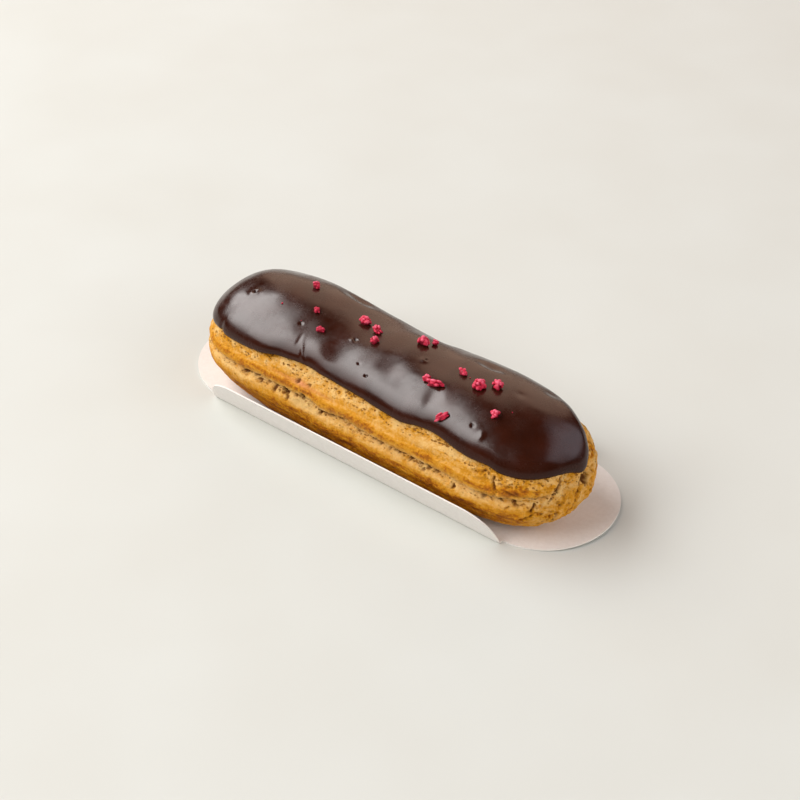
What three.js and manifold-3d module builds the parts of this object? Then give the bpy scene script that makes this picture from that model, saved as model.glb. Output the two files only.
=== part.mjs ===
// A chocolate eclair on its folded card: a fluted choux shell, a cap of set chocolate icing with the
// three largest crumbs of dried raspberry on it, and a white card tray whose two long sides are folded
// up. Millimetres, +X along the eclair, +Z up, the card's underside at z = 0. The eclair lies a little
// askew on the card, nearer to its -Y side.
import * as THREE from "three";
import { mergeVertices } from "three/addons/utils/BufferGeometryUtils.js";
import Module from "manifold-3d";

const wasm = await Module();
wasm.setup();

// Card tray
const CARD_THICKNESS = 0.45;
const CARD_FOLD_HALF_WIDTH = 24.8;
const CARD_END_RADIUS = 23.4;
const CARD_HALF_LENGTH = 78.8;
const FLAP_WIDTH = 11.5;
const NEAR_FLAP_LEAN = THREE.MathUtils.degToRad(22);
const FAR_FLAP_LEAN = THREE.MathUtils.degToRad(6);
const FLAP_HALF_LENGTH = 56.5;
const FLAP_CORNER_LENGTH = 12;
const FLAP_CORNER_RISE = 7;

// Where the eclair lies on the card
const ECLAIR_SHIFT_X = 1.3;
const ECLAIR_SHIFT_Y = -4.1;
const ECLAIR_TURN = THREE.MathUtils.degToRad(-2.1);
const GAP = 0.3;

// Choux shell
const SHELL_HALF_LENGTH = 70.6;
const SHELL_HALF_WIDTH = 22.4;
const SHELL_HEIGHT = 33.2;
const WIDEST_HEIGHT = 13.2;
const UNDERSIDE_CUT = 2;
const PLAN_ROUNDNESS = 10;
const SIDE_ROUNDNESS = 7.6;
const UNDERSIDE_ROUNDNESS = 6;
const UPPER_FULLNESS = 0.92;
const LOWER_FULLNESS = 0.83;
const FLUTE_PITCH = 8.8;
const FLUTE_DEPTH = 0.75;
const FLUTE_TOP = 30;
const SHELL_RINGS = 58;
const SHELL_ROWS = 36;

// Chocolate icing
const ICING_THICKNESS = 2.1;
const ICING_LIP = 0.45;
const ICING_LIP_HEIGHT = 2.6;
const ICING_EDGE_THICKNESS = 1.2;
const ICING_EDGE_ROUND = 0.9;

// Crumbs of dried raspberry: name, place along and across the eclair, and size
const LARGE_CRUMBS = [
  ["berry_crumb_a", 34.1, -1.5, 4.2],
  ["berry_crumb_b", 38.2, 1.8, 3.6],
  ["berry_crumb_c", 7.2, 5.5, 4],
];
const CRUMB_LUMPS = 5;
const CRUMB_CLEARANCE = 0.4;
const CRUMB_CORE_SHARE = 0.4;
const CRUMB_LUMP_SHARE = 0.2;
const CRUMB_SEAT_SHARE = 0.25;

// Share of the mean width and height at stations along the shell, -1 at one end and 1 at the other.
const WIDTH_SHARE = smoothCurve([
  [-1, 0.94],
  [-0.8, 0.97],
  [-0.5, 1.03],
  [-0.2, 1.01],
  [0.1, 0.985],
  [0.4, 0.97],
  [0.7, 0.945],
  [1, 0.85],
]);
const HEIGHT_SHARE = smoothCurve([
  [-1, 0.98],
  [-0.8, 1.01],
  [-0.5, 1.025],
  [-0.2, 0.975],
  [0.1, 0.985],
  [0.4, 1.04],
  [0.7, 1.04],
  [1, 1.02],
]);
// How far the shell's centre line drifts towards +Y, in mm.
const CENTRE_DRIFT = smoothCurve([
  [-1, 0.4],
  [-0.4, 0],
  [0.4, 0],
  [1, 1.6],
]);

// Height of the icing's wavy lower edge above the shell's base, along the -Y side and the +Y side.
const NEAR_EDGE = smoothCurve([
  [-71, 26.5],
  [-61, 25.6],
  [-50, 24.6],
  [-38, 26.2],
  [-25, 28.2],
  [-9, 27.1],
  [8, 26],
  [18, 26.4],
  [30, 28.2],
  [42, 27.1],
  [56, 25.4],
  [71, 23],
]);
const FAR_EDGE = smoothCurve([
  [-71, 26.5],
  [-52, 25],
  [-34, 27.4],
  [-14, 25.4],
  [6, 27.2],
  [26, 25.2],
  [46, 27],
  [71, 28],
]);

// A smooth curve through a few stations, as a function of the station.
function smoothCurve(stations) {
  const points = stations.map(([at, value]) => new THREE.Vector2(at, value));
  const first = points[0];
  const last = points[points.length - 1];
  const line = new THREE.SplineCurve(points).getPoints(40 * points.length);
  return (at) => {
    if (at <= first.x) return first.y;
    if (at >= last.x) return last.y;
    const next = line.findIndex((point) => point.x > at);
    const before = line[next - 1];
    const share = (at - before.x) / (line[next].x - before.x);
    return THREE.MathUtils.lerp(before.y, line[next].y, share);
  };
}

// How full the shell is at a station: 1 along the middle, falling round its blunt ends.
function endFullness(station, roundness) {
  return Math.sqrt(Math.max(0, 1 - Math.abs(station) ** roundness));
}

function signedPower(value, power) {
  return Math.sign(value) * Math.abs(value) ** power;
}

// A point of the smooth shell: a station along it and an angle round it from the +Y side over the top.
function shellPoint(station, angle) {
  const across = SHELL_HALF_WIDTH * WIDTH_SHARE(station) * endFullness(station, PLAN_ROUNDNESS);
  const up = Math.sin(angle);
  const fullness = up > 0 ? UPPER_FULLNESS : LOWER_FULLNESS;
  const above = SHELL_HEIGHT * HEIGHT_SHARE(station) - WIDEST_HEIGHT;
  const below = WIDEST_HEIGHT + UNDERSIDE_CUT;
  const reach =
    up > 0
      ? above * endFullness(station, SIDE_ROUNDNESS)
      : below * endFullness(station, UNDERSIDE_ROUNDNESS);
  return new THREE.Vector3(
    SHELL_HALF_LENGTH * station,
    CENTRE_DRIFT(station) + across * signedPower(Math.cos(angle), fullness),
    WIDEST_HEIGHT + reach * signedPower(up, fullness),
  );
}

// Depth of the piped flutes, which run along the shell at even heights and fade under the icing.
function fluteRelief(height) {
  const wave = Math.cos((2 * Math.PI * (height - WIDEST_HEIGHT)) / FLUTE_PITCH);
  const fadeBelow = THREE.MathUtils.smoothstep(height, 2, 8);
  const fadeAbove = 1 - THREE.MathUtils.smoothstep(height, FLUTE_TOP - 4, FLUTE_TOP);
  return FLUTE_DEPTH * wave * fadeBelow * fadeAbove;
}

// A closed skin shaped like the shell and grown outwards by what grow gives for each of its points.
function grownShell(grow) {
  const skin = new THREE.SphereGeometry(1, SHELL_ROWS, SHELL_RINGS);
  skin.deleteAttribute("uv");
  skin.deleteAttribute("normal");
  const merged = mergeVertices(skin, 1e-5);
  const places = merged.attributes.position;
  const unit = new THREE.Vector3();
  for (let i = 0; i < places.count; i++) {
    unit.fromBufferAttribute(places, i);
    const turn = Math.atan2(-unit.z, unit.x);
    // Rows crowd towards the two fluted sides, where the shape changes most.
    const angle = turn - 0.25 * Math.sin(2 * turn);
    const place = shellPoint(unit.y, angle);
    places.setXYZ(i, place.x, place.y, place.z);
  }
  merged.computeVertexNormals();
  const normals = merged.attributes.normal;
  const normal = new THREE.Vector3();
  const place = new THREE.Vector3();
  for (let i = 0; i < places.count; i++) {
    place.fromBufferAttribute(places, i);
    normal.fromBufferAttribute(normals, i);
    place.addScaledVector(normal, fluteRelief(place.z) + grow(place));
    places.setXYZ(i, place.x, place.y, place.z);
  }
  return merged;
}

// The icing's edge height over any point of the plan, from one side's edge to the other's.
function edgeHeight(x, y) {
  const share = THREE.MathUtils.smoothstep(y, -SHELL_HALF_WIDTH, SHELL_HALF_WIDTH);
  return THREE.MathUtils.lerp(NEAR_EDGE(x), FAR_EDGE(x), share);
}

// The icing is thin at its edge, thickest in the rounded lip just above, and even over the top.
function icingGrowth(place) {
  const height = place.z - edgeHeight(place.x, place.y);
  const rounded = THREE.MathUtils.smoothstep(height, -ICING_EDGE_ROUND, ICING_EDGE_ROUND);
  const lip = ICING_LIP * Math.exp(-(((height - ICING_LIP_HEIGHT) / ICING_LIP_HEIGHT) ** 2));
  const body = THREE.MathUtils.lerp(ICING_EDGE_THICKNESS, ICING_THICKNESS, rounded);
  return body + lip - fluteRelief(place.z);
}

function solidOf(geometry) {
  const bare = geometry.clone();
  bare.deleteAttribute("normal");
  bare.deleteAttribute("uv");
  const merged = mergeVertices(bare, 1e-4);
  return new wasm.Manifold(
    new wasm.Mesh({
      numProp: 3,
      vertProperties: new Float32Array(merged.attributes.position.array),
      triVerts: new Uint32Array(merged.index.array),
    }),
  );
}

function geometryOf(solid) {
  const mesh = solid.getMesh();
  const geometry = new THREE.BufferGeometry();
  geometry.setAttribute("position", new THREE.BufferAttribute(mesh.vertProperties, 3));
  geometry.setIndex(new THREE.BufferAttribute(mesh.triVerts, 1));
  geometry.computeVertexNormals();
  return geometry;
}

// Everything above a flat level, as a block large enough for the whole eclair.
function blockAbove(level) {
  const tall = 2 * SHELL_HEIGHT;
  return new THREE.BoxGeometry(4 * SHELL_HALF_LENGTH, 6 * SHELL_HALF_WIDTH, tall).translate(
    0,
    0,
    level + tall / 2,
  );
}

// Everything above the icing's wavy edge, as a block whose underside follows that edge.
function blockAboveEdge() {
  const long = 2 * SHELL_HALF_LENGTH + 20;
  const wide = 2 * SHELL_HALF_WIDTH + 20;
  const block = new THREE.BoxGeometry(long, wide, 2, 80, 12, 1);
  const places = block.attributes.position;
  for (let i = 0; i < places.count; i++) {
    const x = places.getX(i);
    const y = places.getY(i);
    places.setZ(i, places.getZ(i) < 0 ? edgeHeight(x, y) : 2 * SHELL_HEIGHT);
  }
  return block;
}

function chouxShellSolid() {
  return solidOf(grownShell(() => 0)).intersect(solidOf(blockAbove(0)));
}

function icingSolid() {
  const room = solidOf(grownShell(() => GAP));
  return solidOf(grownShell(icingGrowth)).intersect(solidOf(blockAboveEdge())).subtract(room);
}

// Height of the smooth shell's upper side over a point of its plan.
function crownHeight(x, y) {
  const station = x / SHELL_HALF_LENGTH;
  const half = SHELL_HALF_WIDTH * WIDTH_SHARE(station) * endFullness(station, PLAN_ROUNDNESS);
  const share = Math.abs((y - CENTRE_DRIFT(station)) / half);
  const above = SHELL_HEIGHT * HEIGHT_SHARE(station) - WIDEST_HEIGHT;
  const power = 2 / UPPER_FULLNESS;
  const rise = above * endFullness(station, SIDE_ROUNDNESS) * (1 - share ** power) ** (1 / power);
  return WIDEST_HEIGHT + rise;
}

// A crumb: a core with small lumps in a spiral over it, cut flat just above the icing.
function crumbSolid(x, y, size) {
  const foot = crownHeight(x, y) + ICING_THICKNESS + CRUMB_CLEARANCE;
  const seat = foot + CRUMB_SEAT_SHARE * size;
  const core = size * CRUMB_CORE_SHARE;
  const lump = size * CRUMB_LUMP_SHARE;
  let crumb = solidOf(new THREE.IcosahedronGeometry(core, 1).translate(x, y, seat));
  for (let i = 0; i < CRUMB_LUMPS; i++) {
    const rise = (i + 0.5) / CRUMB_LUMPS;
    const round = Math.sqrt(1 - rise ** 2);
    const turn = i * 2.4;
    const away = size / 2 - lump;
    const ball = new THREE.IcosahedronGeometry(lump, 1).translate(
      x + away * round * Math.cos(turn),
      y + away * round * Math.sin(turn),
      seat + away * rise,
    );
    crumb = crumb.add(solidOf(ball));
  }
  return crumb.intersect(solidOf(blockAbove(foot)));
}

// The card's base: straight between its folds, with an end arc set in a little past each fold.
function cardBase() {
  const centre = CARD_HALF_LENGTH - CARD_END_RADIUS;
  const outline = new THREE.Shape();
  outline.moveTo(-FLAP_HALF_LENGTH, -CARD_FOLD_HALF_WIDTH);
  outline.lineTo(FLAP_HALF_LENGTH, -CARD_FOLD_HALF_WIDTH);
  outline.absarc(centre, 0, CARD_END_RADIUS, -Math.PI / 2 + 0.07, Math.PI / 2 - 0.07, false);
  outline.lineTo(FLAP_HALF_LENGTH, CARD_FOLD_HALF_WIDTH);
  outline.lineTo(-FLAP_HALF_LENGTH, CARD_FOLD_HALF_WIDTH);
  outline.absarc(-centre, 0, CARD_END_RADIUS, Math.PI / 2 + 0.07, (3 * Math.PI) / 2 - 0.07, false);
  outline.closePath();
  return new THREE.ExtrudeGeometry(outline, {
    depth: CARD_THICKNESS,
    bevelEnabled: false,
    curveSegments: 24,
  });
}

// One long side of the card, folded up and leaning out; its two ends are rounded off.
function cardFlap(side, lean) {
  const straight = FLAP_HALF_LENGTH - FLAP_CORNER_LENGTH;
  const outline = new THREE.Shape();
  outline.moveTo(-FLAP_HALF_LENGTH, 0);
  outline.lineTo(FLAP_HALF_LENGTH, 0);
  outline.bezierCurveTo(
    FLAP_HALF_LENGTH - 0.5,
    FLAP_CORNER_RISE,
    FLAP_HALF_LENGTH - 4,
    FLAP_WIDTH,
    straight,
    FLAP_WIDTH,
  );
  outline.lineTo(-straight, FLAP_WIDTH);
  outline.bezierCurveTo(
    4 - FLAP_HALF_LENGTH,
    FLAP_WIDTH,
    0.5 - FLAP_HALF_LENGTH,
    FLAP_CORNER_RISE,
    -FLAP_HALF_LENGTH,
    0,
  );
  const flap = new THREE.ExtrudeGeometry(outline, {
    depth: CARD_THICKNESS,
    bevelEnabled: false,
    curveSegments: 12,
  });
  flap.rotateX(Math.PI / 2 + lean);
  flap.translate(0, -CARD_FOLD_HALF_WIDTH + CARD_THICKNESS * Math.cos(lean), 0);
  return side < 0 ? flap : flap.rotateZ(Math.PI);
}

function cardTraySolid() {
  const nearFlap = solidOf(cardFlap(-1, NEAR_FLAP_LEAN));
  const farFlap = solidOf(cardFlap(1, FAR_FLAP_LEAN));
  return solidOf(cardBase()).add(nearFlap).add(farFlap).intersect(solidOf(blockAbove(0)));
}

function part(name, solid, material) {
  const mesh = new THREE.Mesh(geometryOf(solid), material);
  mesh.name = name;
  return mesh;
}

const choux = new THREE.MeshStandardMaterial({ color: "#cf9240", roughness: 0.75, metalness: 0 });
const chocolate = new THREE.MeshStandardMaterial({ color: "#3a211b", roughness: 0.35, metalness: 0 });
const raspberry = new THREE.MeshStandardMaterial({ color: "#c4203f", roughness: 0.8, metalness: 0 });
const whiteCard = new THREE.MeshStandardMaterial({ color: "#ece6e0", roughness: 0.7, metalness: 0 });

const cardTray = part("card_tray", cardTraySolid(), whiteCard);

const eclair = new THREE.Group();
eclair.position.set(ECLAIR_SHIFT_X, ECLAIR_SHIFT_Y, CARD_THICKNESS + GAP);
eclair.rotation.z = ECLAIR_TURN;
eclair.add(part("choux_shell", chouxShellSolid(), choux));
eclair.add(part("chocolate_icing", icingSolid(), chocolate));
for (const [name, x, y, size] of LARGE_CRUMBS) {
  eclair.add(part(name, crumbSolid(x, y, size), raspberry));
}

// The near flap reaches further out than the far one, so the whole moves over to centre its box.
const nearReach = CARD_FOLD_HALF_WIDTH + FLAP_WIDTH * Math.sin(NEAR_FLAP_LEAN);
const farReach = CARD_FOLD_HALF_WIDTH + FLAP_WIDTH * Math.sin(FAR_FLAP_LEAN);

const whole = new THREE.Group();
whole.position.y = (nearReach - farReach) / 2;
whole.add(cardTray, eclair);

export default whole;
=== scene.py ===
"""A chocolate eclair on its folded card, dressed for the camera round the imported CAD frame.

Sizes in the dataclasses are in millimetres, as a pastry cook or a card maker would give them, and
become metres only where a mesh is placed. Every piece lies in the frame's own axes: +X along the
eclair, +Y across the card, +Z up, with the card's underside at z = 0.
"""

import logging
import math
from collections.abc import Mapping
from dataclasses import dataclass, field
from enum import Enum

import bmesh
import bpy
import numpy as np
from mathutils import Matrix, Vector


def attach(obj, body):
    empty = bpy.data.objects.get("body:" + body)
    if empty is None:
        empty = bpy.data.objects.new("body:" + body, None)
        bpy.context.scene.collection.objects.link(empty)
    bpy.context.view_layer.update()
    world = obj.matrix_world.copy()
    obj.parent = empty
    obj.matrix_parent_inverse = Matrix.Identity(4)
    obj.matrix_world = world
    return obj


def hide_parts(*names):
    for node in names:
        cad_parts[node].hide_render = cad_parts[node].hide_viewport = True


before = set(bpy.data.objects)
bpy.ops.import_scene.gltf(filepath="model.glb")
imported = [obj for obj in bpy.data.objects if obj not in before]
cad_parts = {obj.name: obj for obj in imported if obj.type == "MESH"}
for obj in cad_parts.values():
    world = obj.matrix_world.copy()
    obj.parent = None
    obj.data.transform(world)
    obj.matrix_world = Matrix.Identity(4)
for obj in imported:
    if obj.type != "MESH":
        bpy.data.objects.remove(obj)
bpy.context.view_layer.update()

log = logging.getLogger("eclair")

MM = 0.001
# Where a mix node keeps its colour sockets, whose names it shares with its number sockets.
MIX_BELOW, MIX_ABOVE, MIX_RESULT = 6, 7, 2

Stations = tuple[tuple[float, float], ...]


# ------------------------------------------------------------------ colours and nodes


def linear(hex_code: str) -> tuple[float, float, float, float]:
    """Turns an sRGB hex colour into linear light.

    Args:
        hex_code: the colour as "#rrggbb".

    Returns:
        Red, green, blue and an alpha of 1, as a shader socket takes them.
    """
    shares = [int(hex_code[i : i + 2], 16) / 255 for i in (1, 3, 5)]
    light = [s / 12.92 if s <= 0.04045 else ((s + 0.055) / 1.055) ** 2.4 for s in shares]
    return (light[0], light[1], light[2], 1.0)


def add_node(
    tree: bpy.types.NodeTree,
    kind: str,
    settings: Mapping[str | int, object] | None = None,
    links: Mapping[str | int, bpy.types.Node | bpy.types.NodeSocket] | None = None,
) -> bpy.types.Node:
    """Adds a node with its settings and its links.

    Args:
        tree: the material's or the world's node tree.
        kind: the node's type name.
        settings: properties of the node, or values of its input sockets; "stops" gives a colour
            ramp's places and hex colours.
        links: what each input socket is fed from: a socket, or a node's first output.

    Returns:
        The new node.
    """
    node = tree.nodes.new(kind)
    for name, value in (settings or {}).items():
        if name == "stops":
            ramp = node.color_ramp
            while len(ramp.elements) < len(value):
                ramp.elements.new(1.0)
            for element, (place, colour) in zip(ramp.elements, value):
                element.position = place
                element.color = linear(colour)
        elif isinstance(name, str) and hasattr(node, name):
            setattr(node, name, value)
        else:
            node.inputs[name].default_value = value
    for name, source in (links or {}).items():
        socket = source.outputs[0] if isinstance(source, bpy.types.Node) else source
        tree.links.new(socket, node.inputs[name])
    return node


class Mode(Enum):
    """Ways in which a maths node puts its numbers together."""

    MULTIPLY = "MULTIPLY"
    ADD = "ADD"
    SUBTRACT = "SUBTRACT"
    MULTIPLY_ADD = "MULTIPLY_ADD"


def per_metre(size_mm: float) -> float:
    """Gives a texture's scale for a pattern whose repeat is size_mm."""
    return 1.0 / (size_mm * MM)


# ------------------------------------------------------------------ curves and noise


class SmoothCurve:
    """A smooth curve through a few stations, read at any place along it."""

    STEPS = 40

    def __init__(self, stations: Stations) -> None:
        """Passes a uniform Catmull-Rom curve through the stations.

        Args:
            stations: places along the curve with their values, in order.
        """
        points = np.array(stations, float)
        count = len(points)
        run = np.linspace(0.0, count - 1.0, self.STEPS * count + 1)
        index = np.minimum(np.floor(run).astype(int), count - 1)
        share = (run - index)[:, None]
        before = points[np.maximum(index - 1, 0)]
        start = points[index]
        end = points[np.minimum(index + 1, count - 1)]
        after = points[np.minimum(index + 2, count - 1)]
        leave, arrive = (end - before) / 2, (after - start) / 2
        line = (
            (2 * start - 2 * end + leave + arrive) * share**3
            + (3 * end - 3 * start - 2 * leave - arrive) * share**2
            + leave * share
            + start
        )
        self.places, self.values = line[:, 0], line[:, 1]

    def __call__(self, at: np.ndarray) -> np.ndarray:
        """Reads the curve at each place, and holds its end values beyond its ends."""
        return np.interp(at, self.places, self.values)


def smoothstep(value: np.ndarray, low: float, high: float) -> np.ndarray:
    """Rises smoothly from 0 at low to 1 at high."""
    share = np.clip((value - low) / (high - low), 0.0, 1.0)
    return share * share * (3 - 2 * share)


def bell(value: np.ndarray, width: float) -> np.ndarray:
    """Falls from 1 at 0 to about a third at width, on both sides."""
    return np.exp(-((value / width) ** 2))


def signed_power(value: np.ndarray, power: float) -> np.ndarray:
    """Raises a value to a power and keeps its sign."""
    return np.sign(value) * np.abs(value) ** power


def turned(
    along: np.ndarray, across: np.ndarray, angle: float
) -> tuple[np.ndarray, np.ndarray]:
    """Reads two directions in axes that are turned by an angle.

    Args:
        along: distances along the old axis.
        across: distances across it.
        angle: how far the new axis is turned, in radians.

    Returns:
        The distances along and across the new axis.
    """
    cos, sin = math.cos(angle), math.sin(angle)
    return along * cos + across * sin, across * cos - along * sin


class SeededNoise:
    """Unevenness that looks random and is the same on every run."""

    CELLS = 32

    def __init__(self, seed: int) -> None:
        """Fills the lattice that the noise is read from.

        Args:
            seed: picks this noise's own pattern.
        """
        draw = np.random.default_rng(seed)
        shape = (self.CELLS, self.CELLS, self.CELLS)
        self.lattice = draw.uniform(-1.0, 1.0, shape)
        self.jitter = draw.uniform(0.15, 0.85, shape + (3,))

    def smooth(self, points: np.ndarray, pitch: float) -> np.ndarray:
        """Reads soft lumps of one size.

        Args:
            points: places as rows of three, in mm.
            pitch: the lumps' spacing in mm.

        Returns:
            A value from -1 to 1 for each place.
        """
        scaled = points / pitch
        base = np.floor(scaled).astype(int)
        share = scaled - base
        share = share**3 * (share * (6 * share - 15) + 10)
        total = np.zeros(len(points))
        for corner in np.ndindex(2, 2, 2):
            offset = np.array(corner)
            weight = np.prod(np.where(offset == 1, share, 1 - share), axis=1)
            cell = (base + offset) % self.CELLS
            total += weight * self.lattice[cell[:, 0], cell[:, 1], cell[:, 2]]
        return total

    def rough(self, points: np.ndarray, pitch: float, octaves: int = 3) -> np.ndarray:
        """Reads lumps with ever smaller lumps on them.

        Args:
            points: places as rows of three, in mm.
            pitch: the largest lumps' spacing in mm.
            octaves: how many sizes of lumps there are.

        Returns:
            A value from about -1 to 1 for each place.
        """
        layers = [
            self.smooth(points + 17.3 * k, pitch / 2.03**k) * 0.55**k for k in range(octaves)
        ]
        return sum(layers) / sum(0.55**k for k in range(octaves))

    def bubbles(self, points: np.ndarray, pitch: float, share: float) -> np.ndarray:
        """Measures how far each place is from the nearest bubble's centre.

        Args:
            points: places as rows of three, in mm.
            pitch: the spacing of the places where a bubble may be, in mm.
            share: the share of those places that do hold one, from 0 to 1.

        Returns:
            The distance in mm, at most two pitches.
        """
        scaled = points / pitch
        base = np.floor(scaled).astype(int)
        nearest = np.full(len(points), 2.0)
        for corner in np.ndindex(3, 3, 3):
            cell = base + np.array(corner) - 1
            wrapped = cell % self.CELLS
            index = (wrapped[:, 0], wrapped[:, 1], wrapped[:, 2])
            distance = np.linalg.norm(cell + self.jitter[index] - scaled, axis=1)
            there = self.lattice[index] < 2 * share - 1
            nearest = np.where(there, np.minimum(nearest, distance), nearest)
        return nearest * pitch


@dataclass(frozen=True)
class Lumps:
    """One layer of unevenness: its height, its lumps' spacing, and where its pattern starts."""

    height: float
    pitch: float
    start: float = 0.0
    octaves: int = 3

    def read(self, noise: SeededNoise, points: np.ndarray) -> np.ndarray:
        """Gives the layer's height at each place."""
        return self.height * noise.rough(points + self.start, self.pitch, self.octaves)


# ------------------------------------------------------------------ the eclair's own form


@dataclass(frozen=True)
class EclairForm:
    """The smooth form that the shell is baked in and that the icing follows, in mm."""

    half_length: float = 70.6
    half_width: float = 22.4
    height: float = 33.2
    widest: float = 13.2
    underside_cut: float = 2.0
    plan_roundness: float = 10.0
    side_roundness: float = 7.6
    underside_roundness: float = 6.0
    upper_fullness: float = 0.92
    lower_fullness: float = 0.83
    end_radius: float = 20.0
    end_centre: float = 50.0
    shift_x: float = 1.3
    shift_y: float = -2.547
    turn: float = math.radians(-2.1)
    base_height: float = 0.75
    width_share: SmoothCurve = SmoothCurve(
        ((-1, 0.94), (-0.8, 0.97), (-0.5, 1.03), (-0.2, 1.01), (0.1, 0.985), (0.4, 0.97),
         (0.7, 0.945), (1, 0.85))
    )
    height_share: SmoothCurve = SmoothCurve(
        ((-1, 0.98), (-0.8, 1.01), (-0.5, 1.025), (-0.2, 0.975), (0.1, 0.985), (0.4, 1.04),
         (0.7, 1.04), (1, 1.02))
    )
    drift: SmoothCurve = SmoothCurve(((-1, 0.4), (-0.4, 0), (0.4, 0), (1, 1.6)))
    # How high above the shell's base the icing's edge runs, round the shell.
    icing_edge: SmoothCurve = SmoothCurve(
        ((-113, 25.2), (-98, 25.6), (-84, 24.2), (-74, 22.8), (-66, 22.4), (-59, 23.2),
         (-53, 23.3), (-46, 24), (-36, 25.3), (-30, 26.4), (-18, 26.6), (-2, 26),
         (8, 25.5), (18, 25.5), (24, 26.4), (31, 26.8), (42, 25.3), (49, 25),
         (56, 23.9), (74, 23.5), (81.5, 21.3), (85.5, 23.2), (90, 26), (97, 27.8),
         (105, 28), (117, 27.4), (137, 25.2), (157, 27), (177, 25.4), (197, 27.2),
         (213, 25.2))
    )

    def fullness(self, station: np.ndarray, roundness: float) -> np.ndarray:
        """Gives how full the form is at a station: 1 along the middle, 0 at its very ends."""
        return np.sqrt(np.clip(1 - np.abs(station) ** roundness, 0.0, None))

    def reach_up(self, station: np.ndarray) -> np.ndarray:
        """Gives how far the form rises above its widest level at a station."""
        tall = self.height * self.height_share(station) - self.widest
        return tall * self.fullness(station, self.side_roundness)

    def half_across(self, station: np.ndarray) -> np.ndarray:
        """Gives the form's half width at its widest level at a station."""
        share = self.width_share(station) * self.fullness(station, self.plan_roundness)
        return self.half_width * share

    def skin(self, station: np.ndarray, angle: np.ndarray) -> np.ndarray:
        """Finds points of the form.

        Args:
            station: the place along the form, from -1 to 1.
            angle: the angle round it, from the +Y side over the top, in radians.

        Returns:
            The points as rows of three.
        """
        up = np.sin(angle)
        fullness = np.where(up > 0, self.upper_fullness, self.lower_fullness)
        below = (self.widest + self.underside_cut) * self.fullness(
            station, self.underside_roundness
        )
        reach = np.where(up > 0, self.reach_up(station), below)
        across = self.half_across(station) * signed_power(np.cos(angle), fullness)
        rise = reach * signed_power(up, fullness)
        return np.stack(
            [self.half_length * station, self.drift(station) + across, self.widest + rise], -1
        )

    def crown(self, x: np.ndarray, y: np.ndarray) -> np.ndarray:
        """Finds the height of the form's upper side over its plan.

        Args:
            x: places along the form.
            y: places across it.

        Returns:
            The heights, which are the widest level's outside the form.
        """
        station = np.clip(x / self.half_length, -1.0, 1.0)
        half = np.maximum(self.half_across(station), 1e-6)
        share = np.clip(np.abs(y - self.drift(station)) / half, 0.0, 1.0)
        power = 2 / self.upper_fullness
        return self.widest + self.reach_up(station) * (1 - share**power) ** (1 / power)

    def girth(self, points: np.ndarray) -> np.ndarray:
        """Gives how far round the plan each point is.

        Args:
            points: points as rows of three.

        Returns:
            The distance in mm, which is x along the -Y side, goes on round the +X end and back
            along the +Y side, and falls below -50 round the -X end.
        """
        x = points[:, 0]
        y = points[:, 1] - self.drift(np.clip(x / self.half_length, -1.0, 1.0))
        centre, radius = self.end_centre, self.end_radius
        right = centre + radius * np.arctan2(x - centre, -y)
        left = -centre - radius * np.arctan2(-x - centre, -y)
        back = 2 * centre + math.pi * radius - x
        side = np.where(y > 0, back, x)
        return np.where(x > centre, right, np.where(x < -centre, left, side))

    def place(self, points: np.ndarray) -> np.ndarray:
        """Lays points on the card.

        Args:
            points: points in the eclair's own axes, in mm.

        Returns:
            The same points in the frame's axes, still in mm.
        """
        x, y = turned(points[:, 0], points[:, 1], -self.turn)
        return np.stack(
            [x + self.shift_x, y + self.shift_y, points[:, 2] + self.base_height], -1
        )


# ------------------------------------------------------------------ finishes


@dataclass(frozen=True)
class Finish:
    """What every finish has: a name, and a shader in a material of its own."""

    name: str = "finish"

    def material(self) -> bpy.types.Material:
        """Builds the finish's material.

        Returns:
            The material, whose patterns lie in the piece's own axes.
        """
        material = bpy.data.materials.new(self.name)
        material.use_nodes = True
        tree = material.node_tree
        tree.nodes.clear()
        place = add_node(tree, "ShaderNodeTexCoord").outputs["Object"]
        shader = self.shader(tree, place)
        add_node(tree, "ShaderNodeOutputMaterial", {}, {"Surface": shader})
        return material

    def shader(self, tree: bpy.types.NodeTree, place: bpy.types.NodeSocket) -> bpy.types.Node:
        """Adds the finish's own nodes.

        Args:
            tree: the material's node tree.
            place: where on the piece its patterns are read.

        Returns:
            The shader node.
        """
        raise NotImplementedError


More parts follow.
